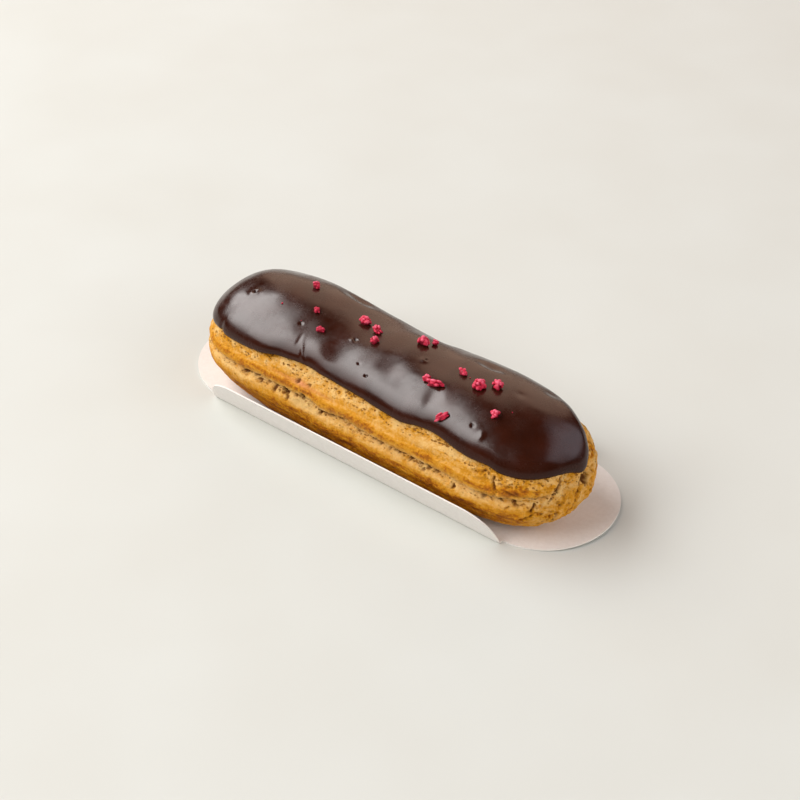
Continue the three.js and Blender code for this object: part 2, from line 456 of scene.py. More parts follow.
@dataclass(frozen=True)
class ChouxFinish(Finish):
    """Baked choux crust: egg-washed dough, dry and full of fine pores.

    The eye sees golden ochre where the crust bulges, straw yellow in the seams where the dough
    split late, and brown where it met the hot tray or tore open.
    """

    name: str = "baked_choux_crust"
    # From barely baked to burnt: how well baked the crust is, and its colour.
    browning: tuple[tuple[float, str], ...] = (
        (0.0, "#e6ba74"), (0.16, "#dda656"), (0.30, "#d5952f"), (0.40, "#cb891a"),
        (0.49, "#b36b11"), (0.63, "#84470f"), (0.86, "#45240e"),
    )
    # Painted shade inside the pores.
    pore: str = "#a0692b"
    # Painted shade deep in the pits and splits.
    hollow: str = "#633617"
    blush: str = "#d98a66"
    torn: str = "#dcb574"
    mottle: float = 3.4
    streak: float = 1.5
    streak_stretch: float = 0.16
    grain: float = 0.85
    mottle_gain: float = 1.15
    streak_gain: float = 1.0
    grain_gain: float = 0.65
    pore_pitch: float = 0.85
    pore_stretch: float = 0.6
    pore_shake: float = 0.7
    pore_shake_pitch: float = 0.9
    pore_size: float = 0.33
    pore_size_gain: float = 1.3
    pore_rim: float = 0.2
    pore_depth: float = 0.6
    relief: float = 0.75
    roughness: float = 0.62

    def shader(self, tree: bpy.types.NodeTree, place: bpy.types.NodeSocket) -> bpy.types.Node:
        """Adds the crust's nodes, which read the shell's own marks.

        Args:
            tree: the material's node tree.
            place: where on the shell the patterns are read.

        Returns:
            The shader node.
        """
        marks = {
            mark: add_node(tree, "ShaderNodeAttribute", {"attribute_name": mark}).outputs["Fac"]
            for mark in ("bake", "pit", "porous", "blush", "torn")
        }
        drawn_out = add_node(
            tree, "ShaderNodeMapping", {"Scale": (self.streak_stretch, 1.0, 1.0)},
            {"Vector": place},
        )
        # The crust's grain is nearer 0.2 mm; it is drawn coarser so that it shows.
        patterns = ((place, self.mottle, 4.0), (drawn_out, self.streak, 3.0),
                    (place, self.grain, 4.0))
        mottle, streak, grain = (
            add_node(
                tree, "ShaderNodeTexNoise",
                {"Scale": per_metre(size), "Detail": detail, "Roughness": 0.6},
                {"Vector": spread},
            )
            for spread, size, detail in patterns
        )
        # Uneven browning: blotches, streaks along the flutes and a fine grain.
        baked = marks["bake"]
        for source, gain in ((mottle, self.mottle_gain), (streak, self.streak_gain),
                             (grain, self.grain_gain)):
            spread = add_node(
                tree, "ShaderNodeMath",
                {"operation": Mode.MULTIPLY_ADD.value, 1: gain, 2: -0.5 * gain}, {0: source},
            )
            baked = add_node(
                tree, "ShaderNodeMath", {"operation": Mode.ADD.value}, {0: baked, 1: spread}
            )
        share = add_node(
            tree, "ShaderNodeMath", {"operation": Mode.MULTIPLY.value, 1: 0.5}, {0: baked}
        )
        crust = add_node(
            tree, "ShaderNodeValToRGB", {"stops": self.browning}, {"Fac": share}
        ).outputs["Color"]
        pores = self.pores(tree, place, streak, marks["porous"])
        # Over the browning: the pink blush by the stain, torn crumb, and pores and pits painted
        # darker as painted shade in their hollows.
        layers = ((marks["blush"], self.blush), (marks["torn"], self.torn), (pores, self.pore),
                  (marks["pit"], self.hollow))
        for amount, colour in layers:
            crust = add_node(
                tree, "ShaderNodeMix", {"data_type": "RGBA", MIX_ABOVE: linear(colour)},
                {0: amount, MIX_BELOW: crust},
            ).outputs[MIX_RESULT]
        # Well browned crust is a little glossier than pale crumb.
        dull = add_node(
            tree, "ShaderNodeMapRange",
            {"From Min": 0.3, "From Max": 1.0, "To Min": self.roughness + 0.12,
             "To Max": self.roughness - 0.08},
            {"Value": baked},
        )
        relief = add_node(
            tree, "ShaderNodeMath",
            {"operation": Mode.MULTIPLY_ADD.value, 1: -self.pore_depth}, {0: pores, 2: grain},
        )
        bump = add_node(
            tree, "ShaderNodeBump", {"Strength": 1.0, "Distance": self.relief * MM},
            {"Height": relief},
        )
        return add_node(
            tree, "ShaderNodeBsdfPrincipled",
            {"IOR": 1.4, "Specular IOR Level": 0.12, "Subsurface Weight": 0.05,
             "Subsurface Scale": 1.0 * MM, "Subsurface Radius": (1.0, 0.5, 0.2)},
            {"Base Color": crust, "Roughness": dull, "Normal": bump},
        )

    def pores(
        self,
        tree: bpy.types.NodeTree,
        place: bpy.types.NodeSocket,
        streak: bpy.types.Node,
        porous: bpy.types.NodeSocket,
    ) -> bpy.types.Node:
        """Adds the nodes of the fine pores, which read as dark pinpricks of painted shade along
        the seams.

        Args:
            tree: the material's node tree.
            place: where on the shell the pattern is read.
            streak: the pattern that makes pores larger in some streaks than in others.
            porous: how open the crumb is.

        Returns:
            The node that gives how far inside a pore each place is.
        """
        # Each pore's place is shaken, and pores are drawn out along the shell.
        shake = add_node(
            tree, "ShaderNodeTexNoise",
            {"Scale": per_metre(self.pore_shake_pitch), "Detail": 2.0}, {"Vector": place},
        ).outputs["Color"]
        shaken = add_node(
            tree, "ShaderNodeVectorMath",
            {"operation": Mode.MULTIPLY_ADD.value, 1: (self.pore_shake * MM,) * 3},
            {0: shake, 2: place},
        )
        drawn_out = add_node(
            tree, "ShaderNodeMapping", {"Scale": (self.pore_stretch, 1.0, 1.0)},
            {"Vector": shaken},
        )
        cells = add_node(
            tree, "ShaderNodeTexVoronoi",
            {"Scale": per_metre(self.pore_pitch), "Randomness": 1.0}, {"Vector": drawn_out},
        )
        size = add_node(
            tree, "ShaderNodeMath",
            {"operation": Mode.MULTIPLY_ADD.value, 1: self.pore_size_gain,
             2: self.pore_size - 0.5 * self.pore_size_gain},
            {0: streak},
        )
        depth = add_node(
            tree, "ShaderNodeMath", {"operation": Mode.SUBTRACT.value}, {0: size, 1: cells}
        )
        opening = add_node(
            tree, "ShaderNodeMapRange", {"From Max": self.pore_rim}, {"Value": depth}
        )
        return add_node(
            tree, "ShaderNodeMath", {"operation": Mode.MULTIPLY.value}, {0: opening, 1: porous}
        )


@dataclass(frozen=True)
class ChocolateFinish(Finish):
    """Set dark chocolate icing: fat and sugar that dried with a satin skin.

    The eye sees almost black brown where nothing bright is mirrored, and a broad soft grey sheen
    where the window is.
    """

    name: str = "set_dark_chocolate_icing"
    body: str = "#2c1108"
    warm: str = "#36160c"
    pinhole_shade: str = "#0d0504"
    cloud: float = 9.0
    smudge: float = 6.0
    roughness: float = 0.23
    top_sheen: float = 0.5
    edge_sheen: float = 0.14

    def shader(self, tree: bpy.types.NodeTree, place: bpy.types.NodeSocket) -> bpy.types.Node:
        """Adds the icing's nodes, which read its own pinhole and edge marks.

        Args:
            tree: the material's node tree.
            place: where on the icing the patterns are read.

        Returns:
            The shader node.
        """
        cloud, smudge = (
            add_node(
                tree, "ShaderNodeTexNoise",
                {"Scale": per_metre(size), "Detail": detail, "Roughness": rough},
                {"Vector": place},
            )
            for size, detail, rough in ((self.cloud, 3.0, 0.5), (self.smudge, 5.0, 0.65))
        )
        pinholes, rolled = (
            add_node(tree, "ShaderNodeAttribute", {"attribute_name": mark}).outputs["Fac"]
            for mark in ("pit", "rolled")
        )
        body = add_node(
            tree, "ShaderNodeValToRGB", {"stops": ((0.35, self.body), (0.7, self.warm))},
            {"Fac": cloud},
        )
        # Pinholes painted near black, as painted shade in the holes.
        colour = add_node(
            tree, "ShaderNodeMix", {"data_type": "RGBA", MIX_ABOVE: linear(self.pinhole_shade)},
            {0: pinholes, MIX_BELOW: body},
        ).outputs[MIX_RESULT]
        # The rolled edge set last and stays duller than the top.
        sheen = add_node(
            tree, "ShaderNodeMapRange", {"To Min": self.top_sheen, "To Max": self.edge_sheen},
            {"Value": rolled},
        )
        # Smudges of bloom blur what the icing mirrors more in some places than in others.
        dull = add_node(
            tree, "ShaderNodeMapRange",
            {"From Min": 0.35, "From Max": 0.65, "To Min": self.roughness - 0.07,
             "To Max": self.roughness + 0.09},
            {"Value": smudge},
        )
        return add_node(
            tree, "ShaderNodeBsdfPrincipled", {"IOR": 1.62},
            {"Base Color": colour, "Roughness": dull, "Specular IOR Level": sheen},
        )


@dataclass(frozen=True)
class CardFinish(Finish):
    """Uncoated white board, die-cut and creased: matt, very slightly warm, with paper fibre."""

    name: str = "uncoated_white_board"
    face: str = "#ebe7e3"
    shade: str = "#e4dfda"
    fibre: float = 1.4
    tooth: float = 0.03
    roughness: float = 0.62

    def shader(self, tree: bpy.types.NodeTree, place: bpy.types.NodeSocket) -> bpy.types.Node:
        """Adds the board's nodes.

        Args:
            tree: the material's node tree.
            place: where on the card the pattern is read.

        Returns:
            The shader node.
        """
        # Paper fibres are finer than this; they are drawn as coarse as they need to show.
        fibre = add_node(
            tree, "ShaderNodeTexNoise",
            {"Scale": per_metre(self.fibre), "Detail": 5.0, "Roughness": 0.7},
            {"Vector": place},
        )
        colour = add_node(
            tree, "ShaderNodeValToRGB", {"stops": ((0.3, self.shade), (0.65, self.face))},
            {"Fac": fibre},
        )
        bump = add_node(
            tree, "ShaderNodeBump", {"Strength": 0.2, "Distance": self.tooth * MM},
            {"Height": fibre},
        )
        return add_node(
            tree, "ShaderNodeBsdfPrincipled", {"IOR": 1.5, "Roughness": self.roughness},
            {"Base Color": colour, "Normal": bump},
        )


@dataclass(frozen=True)
class BerryFinish(Finish):
    """Freeze-dried raspberry: matt crimson flesh with a paler, powdery outside, painted paler
    still on the tops as painted light and deeper underneath and between the lumps as painted
    shade.
    """

    name: str = "freeze_dried_raspberry"
    flesh: str = "#860a26"
    skin: str = "#c91c40"
    powder_and_light: str = "#ea6a86"
    grain: float = 0.6
    grain_gain: float = 0.9
    tooth: float = 0.12
    roughness: float = 0.6

    def shader(self, tree: bpy.types.NodeTree, place: bpy.types.NodeSocket) -> bpy.types.Node:
        """Adds the berry's nodes, which read how far out each lump's skin is and how far up it
        faces, the latter as painted light and shade.

        Args:
            tree: the material's node tree.
            place: where on the crumbs the pattern is read.

        Returns:
            The shader node.
        """
        grain = add_node(
            tree, "ShaderNodeTexNoise",
            {"Scale": per_metre(self.grain), "Detail": 3.0, "Roughness": 0.6},
            {"Vector": place},
        )
        # The outside mark carries painted light on the crumbs' tops and painted shade beneath and
        # between lumps.
        outside = add_node(
            tree, "ShaderNodeAttribute", {"attribute_name": "outside"}
        ).outputs["Fac"]
        uneven = add_node(
            tree, "ShaderNodeMath",
            {"operation": Mode.MULTIPLY_ADD.value, 1: self.grain_gain,
             2: -0.5 * self.grain_gain},
            {0: grain},
        )
        share = add_node(
            tree, "ShaderNodeMath", {"operation": Mode.ADD.value}, {0: outside, 1: uneven}
        )
        colour = add_node(
            tree, "ShaderNodeValToRGB",
            {"stops": ((0.1, self.flesh), (0.5, self.skin), (1.0, self.powder_and_light))},
            {"Fac": share},
        )
        bump = add_node(
            tree, "ShaderNodeBump", {"Strength": 0.6, "Distance": self.tooth * MM},
            {"Height": grain},
        )
        return add_node(
            tree, "ShaderNodeBsdfPrincipled", {"IOR": 1.45, "Roughness": self.roughness},
            {"Base Color": colour, "Normal": bump},
        )


@dataclass(frozen=True)
class FloorFinish(Finish):
    """Matt warm-white table top, with a barely uneven wash."""

    name: str = "matt_white_table"
    pale: str = "#d0d2cd"
    warm: str = "#cdcec8"
    wash: float = 60.0
    roughness: float = 0.6

    def shader(self, tree: bpy.types.NodeTree, place: bpy.types.NodeSocket) -> bpy.types.Node:
        """Adds the table's nodes.

        Args:
            tree: the material's node tree.
            place: where on the table the pattern is read.

        Returns:
            The shader node.
        """
        wash = add_node(
            tree, "ShaderNodeTexNoise", {"Scale": per_metre(self.wash), "Detail": 2.0},
            {"Vector": place},
        )
        colour = add_node(
            tree, "ShaderNodeValToRGB", {"stops": ((0.3, self.warm), (0.7, self.pale))},
            {"Fac": wash},
        )
        return add_node(
            tree, "ShaderNodeBsdfPrincipled",
            {"IOR": 1.4, "Roughness": self.roughness, "Specular IOR Level": 0.25},
            {"Base Color": colour},
        )


# ------------------------------------------------------------------ pieces


@dataclass
class Piece:
    """What every visible piece has: its name, its finish's slot, and what it stands for."""

    name: str
    slot: str
    stands_for: tuple[str, ...] = ()

    def dress(self, mesh: bpy.types.Mesh, material: bpy.types.Material) -> bpy.types.Object:
        """Makes the finished piece of its mesh and joins it to the frame.

        Args:
            mesh: the finished mesh, in metres and in the frame's axes.
            material: the finish.

        Returns:
            The piece.
        """
        mesh.materials.append(material)
        mesh.polygons.foreach_set("use_smooth", np.ones(len(mesh.polygons), bool))
        mesh.update()
        piece = bpy.data.objects.new(self.name, mesh)
        bpy.context.scene.collection.objects.link(piece)
        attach(piece, "root")
        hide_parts(*self.stands_for)
        return piece

    @staticmethod
    def mark(mesh: bpy.types.Mesh, name: str, values: np.ndarray) -> None:
        """Writes one number a vertex, for the finish to read.

        Args:
            mesh: the mesh.
            name: the mark's name.
            values: the numbers, in the vertices' order.
        """
        layer = mesh.attributes.new(name, "FLOAT", "POINT")
        layer.data.foreach_set("value", values.astype(np.float32))

    @staticmethod
    def places(mesh: bpy.types.Mesh) -> np.ndarray:
        """Reads the places of a mesh's vertices.

        Args:
            mesh: the mesh.

        Returns:
            The places as rows of three.
        """
        flat = np.empty(3 * len(mesh.vertices))
        mesh.vertices.foreach_get("co", flat)
        return flat.reshape(-1, 3)

    @staticmethod
    def move_to(mesh: bpy.types.Mesh, points: np.ndarray) -> None:
        """Moves a mesh's vertices to new places."""
        mesh.vertices.foreach_set("co", points.ravel())
        mesh.update()

    @staticmethod
    def normals(mesh: bpy.types.Mesh) -> np.ndarray:
        """Reads the normals of a mesh's vertices.

        Args:
            mesh: the mesh.

        Returns:
            The normals as rows of three.
        """
        flat = np.empty(3 * len(mesh.vertices))
        mesh.vertex_normals.foreach_get("vector", flat)
        return flat.reshape(-1, 3)


@dataclass(frozen=True)
class Hollow:
    """A pit in the crust: place round the shell and up it, half sizes, depth and lean."""

    girth: float
    height: float
    half_length: float
    half_height: float
    depth: float
    lean: float = 0.0


@dataclass(frozen=True)
class Patch:
    """A soft oval patch of the crust: place round the shell and up it, and half sizes."""

    girth: float
    height: float
    half_length: float
    half_height: float

    def share(self, girth: np.ndarray, height: np.ndarray) -> np.ndarray:
        """Gives how much of the patch each place has, 1 in its middle."""
        along = bell(girth - self.girth, self.half_length)
        return along * bell(height - self.height, self.half_height)


@dataclass(frozen=True)
class Split:
    """A crack in the crust: the places it runs through, its half width and its depth."""

    run: Stations
    half_width: float
    depth: float


@dataclass
class Ground:
    """Where each vertex of the shell lies, and how much of each region of crust it has.

    The girth runs round the shell and the level up it, from its base and along its wandering
    seam. The shares, from 0 to 1, are those of the unfluted ends, the seam, the strip that the
    icing's edge shaded, and all crumb that split open late.
    """

    points: np.ndarray
    girth: np.ndarray
    height: np.ndarray
    level: np.ndarray
    end: np.ndarray
    seam: np.ndarray
    under_icing: np.ndarray
    open_crumb: np.ndarray


@dataclass
class ChouxShell(Piece):
    """The piped and baked shell, with its flutes, seams, pits, splits and torn places."""

    name: str = "choux_crust"
    slot: str = "choux"
    stands_for: tuple[str, ...] = ("choux_shell",)
    form: EclairForm = EclairForm()
    rings: int = 450
    rows: int = 212
    fine_row: float = 0.30
    coarse_row: float = 1.5
    seed: int = 11
    cover: tuple[float, float] = (29.0, 31.0)
    seam_level: float = 17.0
    seam_half: float = 1.7
    trench_level: float = 16.9
    trench_half: float = 0.55
    trench_depth: float = 0.6
    step_level: float = 22.4
    step_half: float = 1.3
    bubble_pitch: float = 0.95
    bubble_share: float = 0.8
    bubble_depth: float = 0.34
    crack_depth: float = 0.55
    fold_height: float = 1.3
    pit_reach: float = 4.0
    fray: float = 0.12
    # How the level sways along the shell, and how the crust swells, knots and crumbles.
    sways: tuple[Lumps, ...] = (Lumps(0.35, 9.0), Lumps(0.12, 2.2, 50))
    fringe: Lumps = Lumps(0.6, 3.0, 66)
    swells: tuple[Lumps, ...] = (Lumps(0.32, 15.0, 90), Lumps(0.16, 5.0, 40))
    skin_grain: Lumps = Lumps(0.11, 1.5, 10, 2)
    nozzle_lines: Lumps = Lumps(0.10, 1.7, 60, 1)
    nozzle_stretch: float = 0.22
    crumble: Lumps = Lumps(0.46, 1.9, 21)
    torn: Patch = Patch(-17.5, 16.2, 4.0, 1.5)
    stain: Patch = Patch(-19.5, 22.6, 2.4, 0.9)
    pale: Patch = Patch(-47.0, 13.0, 14.0, 3.0)
    foot: Patch = Patch(60.0, 12.0, 12.0, 2.6)
    # How far the crust stands proud of the smooth form at each height above the base.
    flutes: SmoothCurve = SmoothCurve(
        ((0, 0), (5, -0.1), (8.5, -0.25), (10.5, 0.25), (13, 0.75), (15.2, 0.55),
         (16.2, -0.25), (17, -0.75), (17.9, -0.1), (19, 0.55), (20.2, 0.7), (21, 0.5),
         (21.7, 0.05), (23, 0.15), (24.2, -0.05), (25.6, -0.55), (28, -0.3), (30, 0),
         (40, 0))
    )
    # How dark the crust is baked at each height: 0 straw, 0.6 gold, 0.9 ochre, over 1 brown.
    baking: SmoothCurve = SmoothCurve(
        ((0, 1.2), (5, 0.88), (7.4, 0.88), (8.6, 0.94), (10, 1), (11.5, 1),
         (13, 0.95), (14.3, 0.68), (15.5, 0.34), (17, 0.18), (18, 0.5), (19.2, 0.9),
         (20.6, 0.9), (21.2, 0.55), (22.5, 0.45), (24, 0.3), (25.5, 0.15), (28, 0.2),
         (40, 0.3))
    )
    # How far the main seam runs above or below its mean height, round the shell.
    seam_rise: SmoothCurve = SmoothCurve(
        ((-113, 0.2), (-102, -0.8), (-90, -2), (-66, -1.5), (-52, -1), (-43, -0.5),
         (-36, 0.8), (-26, 0.8), (-17, 1.5), (-10, -0.2), (-2, 0.7), (5, 0), (20, -0.2),
         (38, -0.4), (48, -1.4), (57, -0.6), (66, 0.8), (74, 2.5), (90, 3), (110, 1),
         (140, 0.3), (170, -0.4), (200, 0.4), (213, 0.2))
    )
    pits: tuple[Hollow, ...] = (
        Hollow(-52.5, 16.0, 1.0, 0.35, 0.7, 0.3), Hollow(-49.0, 16.0, 0.6, 0.35, 0.5),
        Hollow(-43.0, 16.3, 1.7, 0.50, 1.0, 0.35), Hollow(-41.2, 17.2, 1.1, 0.40, 0.8),
        Hollow(-38.0, 17.4, 1.0, 0.30, 0.7), Hollow(-35.7, 16.8, 0.8, 0.40, 0.8),
        Hollow(-34.5, 18.3, 0.8, 0.30, 0.6), Hollow(-32.5, 17.4, 0.6, 0.35, 0.6),
        Hollow(-29.2, 16.6, 0.55, 0.65, 0.9, 0.5), Hollow(-28.8, 17.9, 0.8, 0.30, 0.7),
        Hollow(-25.0, 17.7, 1.1, 0.80, 1.5, -0.3), Hollow(-23.4, 16.1, 0.4, 0.60, 0.6),
        Hollow(-20.7, 17.9, 0.5, 0.35, 0.6), Hollow(-18.0, 18.7, 0.8, 0.80, 1.6),
        Hollow(-14.6, 18.5, 1.1, 0.30, 0.8, -0.3), Hollow(-10.5, 16.6, 0.5, 0.65, 0.8),
        Hollow(-9.0, 16.9, 0.5, 0.30, 0.6), Hollow(-6.5, 17.2, 1.0, 0.30, 0.7, 0.2),
        Hollow(-2.5, 17.9, 1.1, 0.35, 1.0), Hollow(0.2, 17.0, 0.4, 0.30, 0.5),
        Hollow(4.5, 17.0, 0.9, 0.30, 0.6), Hollow(10.2, 16.6, 0.5, 0.30, 0.6),
        Hollow(12.8, 16.8, 0.9, 0.50, 1.0, -0.3), Hollow(16.6, 16.2, 0.4, 0.45, 0.6),
        Hollow(19.5, 16.9, 1.0, 0.40, 1.0), Hollow(22.4, 17.0, 0.6, 0.40, 0.7),
        Hollow(24.3, 16.2, 0.6, 0.45, 1.0), Hollow(27.7, 16.8, 0.55, 0.55, 1.0),
        Hollow(29.5, 15.4, 0.6, 0.35, 0.6), Hollow(31.0, 16.9, 0.55, 0.65, 1.0),
        Hollow(33.4, 16.5, 0.6, 0.50, 1.0, 0.5), Hollow(37.0, 17.0, 0.4, 0.30, 0.5),
        Hollow(40.6, 15.0, 0.45, 0.55, 1.0), Hollow(50.0, 15.5, 0.5, 0.35, 0.6),
        Hollow(55.0, 16.5, 0.6, 0.40, 0.7), Hollow(59.0, 16.4, 0.5, 0.40, 0.7),
        Hollow(-20.7, 22.5, 0.8, 0.50, 0.6, 0.6), Hollow(-16.6, 22.8, 0.6, 0.35, 0.5),
        Hollow(82.3, 18.6, 1.5, 1.70, 1.9, 0.3), Hollow(89.5, 22.5, 0.4, 0.50, 0.6),
        Hollow(87.0, 15.0, 0.9, 0.40, 0.5, -0.6), Hollow(66.8, 12.8, 0.4, 0.35, 0.6),
    )
    splits: tuple[Split, ...] = (
        Split(((46.8, 22.5), (48.2, 22.8), (49.6, 23.6)), 0.35, 1.0),
        Split(((52.4, 22.6), (52.9, 20.6), (54.4, 19.0), (53.2, 17.0)), 0.34, 1.1),
        Split(((54.3, 21.4), (56.0, 21.0), (58.4, 21.2)), 0.28, 0.7),
        Split(((57.0, 19.8), (61.5, 18.7), (66.0, 18.3), (69.2, 18.9)), 0.30, 0.8),
        Split(((68.8, 17.0), (70.3, 19.0), (71.8, 21.0), (72.8, 22.6)), 0.40, 1.3),
        Split(((64.0, 14.3), (64.8, 16.3)), 0.40, 1.1),
        Split(((61.2, 10.6), (63.0, 12.0), (65.3, 13.6)), 0.36, 1.1),
        Split(((75.5, 9.5), (76.4, 13.5), (78.4, 17.0), (80.6, 20.4)), 0.34, 0.9),
        Split(((70.6, 8.8), (71.0, 12.2), (72.6, 15.6)), 0.30, 0.8),
        Split(((84.6, 10.0), (84.0, 13.6), (85.4, 16.8)), 0.32, 0.8),
        Split(((57.4, 14.4), (59.6, 15.6), (62.2, 15.9)), 0.30, 0.7),
    )

    def mesh(self) -> bpy.types.Mesh:
        """Bakes the shell: a ball of rings drawn out along the form, then given its relief.

        Returns:
            The finished mesh with its marks.
        """
        ball = bmesh.new()
        bmesh.ops.create_uvsphere(ball, u_segments=self.rows, v_segments=self.rings, radius=1.0)
        mesh = bpy.data.meshes.new(self.name)
        ball.to_mesh(mesh)
        ball.free()
        unit = self.places(mesh)
        turn = np.arctan2(unit[:, 1], unit[:, 0]) % (2 * math.pi)
        smooth = self.form.skin(unit[:, 2], self.row_angle(turn))
        self.move_to(mesh, smooth)
        normals = self.normals(mesh)
        relief, marks = self.relief(smooth)
        points = smooth + normals * relief[:, None]
        points[:, 2] = np.maximum(points[:, 2], 0.0)
        self.move_to(mesh, self.form.place(points) * MM)
        for name, values in marks.items():
            self.mark(mesh, name, values)
        return mesh

    def row_angle(self, turn: np.ndarray) -> np.ndarray:
        """Crowds the rows on the two fluted sides, where the relief is.

        Args:
            turn: the evenly spread angle of each vertex.

        Returns:
            The angle round the form that it moves to.
        """
        angle = np.linspace(0.0, 2 * math.pi, 7201)
        section = self.form.skin(np.zeros_like(angle), angle)
        step = np.linalg.norm(np.diff(section, axis=0), axis=1)
        height = (section[1:, 2] + section[:-1, 2]) / 2
        fine = smoothstep(height, 5.0, 8.0) * (1 - smoothstep(height, 27.5, 30.0))
        rows = step / (self.coarse_row + (self.fine_row - self.coarse_row) * fine)
        total = np.concatenate([[0.0], np.cumsum(rows)])
        return np.interp(turn, total * 2 * math.pi / total[-1], angle)

    def ground(self, points: np.ndarray, noise: SeededNoise) -> Ground:
        """Finds which regions of the crust each place belongs to.

        Args:
            points: the smooth form's points.
            noise: the crust's own unevenness.

        Returns:
            The places with their shares of each region.
        """
        girth, height = self.form.girth(points), points[:, 2]
        wander = sum(sway.read(noise, points) for sway in self.sways)
        level = height - self.seam_rise(girth) * bell(height - 17.5, 6.0) + wander
        right = smoothstep(girth, 58.0, 68.0) * (1 - smoothstep(girth, 104.0, 118.0))
        left = smoothstep(-points[:, 0], 58.0, 66.0)
        end = np.clip(right + 0.55 * left, 0.0, 1.0)
        seam = bell(level - self.seam_level, self.seam_half) * (1 - 0.5 * end)
        over_edge = height - self.form.icing_edge(girth) + self.fringe.read(noise, points)
        under_icing = smoothstep(over_edge, -3.3, -2.1)
        patchy = smoothstep(noise.rough(points + 71, 8.0), 0.0, 0.4)
        step = bell(level - self.step_level, self.step_half) * patchy
        open_crumb = np.clip(under_icing + 0.9 * seam + 0.5 * step + 0.6 * end, 0.0, 1.0)
        return Ground(points, girth, height, level, end, seam, under_icing, open_crumb)

    def piping(
        self, ground: Ground, noise: SeededNoise, exposed: np.ndarray
    ) -> tuple[np.ndarray, np.ndarray]:
        """Works out the flutes and swells of the piped dough, and how it browned.

        Args:
            ground: the places and their regions.
            noise: the crust's own unevenness.
            exposed: how much of each place the icing leaves free.

        Returns:
            The relief in mm and the baking.
        """
        points, end = ground.points, ground.end
        lumps = sum(swell.read(noise, points) for swell in self.swells)
        grain = self.skin_grain.read(noise, points)
        # Fine ridges that the piping nozzle drew along the dough.
        grain += self.nozzle_lines.read(noise, points * np.array([self.nozzle_stretch, 1.0, 1.0]))
        relief = self.flutes(ground.level) * (1 - 0.75 * end) + (lumps + grain) * exposed
        bake = self.baking(ground.level) * (1 - 0.45 * end)
        bake += 0.45 * end * (0.28 + 0.3 * noise.rough(points, 6.0))
        # The lower flute browned less towards the -X end.
        bake -= 0.38 * self.pale.share(ground.girth, ground.height)
        return self.shape_end(ground, relief, bake, noise.rough(points, 1.8))

    def relief(self, points: np.ndarray) -> tuple[np.ndarray, dict[str, np.ndarray]]:
        """Works out the crust's relief and marks.

        Args:
            points: the smooth form's points.

        Returns:
            How far each point moves outwards, and each mark's value there.
        """
        noise = SeededNoise(self.seed)
        ground = self.ground(points, noise)
        girth, height, end = ground.girth, ground.height, ground.end
        exposed = 1 - smoothstep(height, *self.cover)
        relief, bake = self.piping(ground, noise, exposed)
        bubble = self.bubbles(ground, noise)
        crumble = ground.open_crumb * (self.crumble.read(noise, points) - 0.08)
        crack = self.crackle(ground, noise)
        pit, rim = self.pit_depths(ground, noise.rough(points + 25, 0.9, 2))
        pit = np.maximum(pit, self.far_pits(ground))
        ragged = noise.rough(points + 33, 2.6)
        torn = self.torn.share(girth + 2.0 * ragged, height + 1.2 * ragged)
        torn = np.clip(1.6 * torn - 0.3, 0.0, 1.0)
        broken = smoothstep(noise.rough(points + 88, 3.5), -0.35, 0.2)
        trench = bell(ground.level - self.trench_level, self.trench_half) * broken
        folds = self.fold_height * end * (0.25 - np.abs(noise.rough(points + 205, 7.5)))
        sunk = self.bubble_depth * bubble + self.crack_depth * crack + pit
        relief += (rim + folds + crumble - sunk) * exposed
        relief -= self.trench_depth * trench * (1 - end)
        relief -= torn * (0.5 + 0.6 * noise.rough(points, 1.2, 2))
        # A reddish blush runs along the step over the upper flute, to both sides of a small stain.
        blush = bell(height - 22.2 + 0.018 * (girth + 20), 0.55)
        blush *= smoothstep(-np.abs(girth + 19.0), -17.0, -7.0)
        crumbly = np.clip(2.2 * crumble, -0.5, 0.5)
        porous = 0.95 * ground.open_crumb + 0.45 * smoothstep(ragged, 0.1, 0.6)
        # The bake mark browns the burst bubbles and cracks, and the torn mark keeps bubbles from
        # going pale, as painted shade in those hollows; crumb that stands out is paler and crumb
        # that sinks is browner, painted light and shade.
        marks = {
            "bake": bake * (1 - 0.5 * ground.open_crumb) + 0.3 * bubble + 0.5 * crack
            - 0.75 * crumbly,
            # The pit mark paints shade into the pits and splits, deepest where they sink most.
            "pit": 0.92 * smoothstep(pit, 0.15, 0.95),
            "porous": np.clip(porous, 0.0, 1.0),
            "blush": np.clip(0.32 * blush + 0.5 * self.stain.share(girth, height), 0.0, 0.7),
            "torn": np.clip(torn + 0.5 * ground.seam - 0.4 * bubble, 0.0, 0.9),
        }
        return relief, marks

    def bubbles(self, ground: Ground, noise: SeededNoise) -> np.ndarray:
        """Opens the small burst bubbles of the late-split crumb.

        Args:
            ground: the places and their regions.
            noise: the crust's own unevenness.

        Returns:
            How far inside a bubble each place is, from 0 to 1.
        """
        stretched = ground.points * np.array([0.5, 0.6, 1.0])
        near = noise.bubbles(stretched + 5, self.bubble_pitch, self.bubble_share)
        reach = 0.28 + 0.40 * noise.smooth(ground.points + 3, 2.6)
        return smoothstep(reach - near, 0.0, 0.30) * ground.open_crumb

    def crackle(self, ground: Ground, noise: SeededNoise) -> np.ndarray:
        """Draws the fine broken cracks of crust that stretched while it baked.

        Args:
            ground: the places and their regions.
            noise: the crust's own unevenness.

        Returns:
            How much of a crack each place is in, from 0 to 1.
        """
        points = ground.points
        winding = np.abs(noise.rough(points * np.array([0.8, 0.8, 1.0]) + 140, 6.5, 4))
        there = smoothstep(noise.rough(points + 170, 5.0, 2), -0.05, 0.25)
        loose = 0.9 * ground.end + 0.45 * ground.seam + 0.3 * ground.under_icing
        return smoothstep(0.07 - winding, 0.0, 0.06) * there * np.clip(loose, 0.0, 1.0)

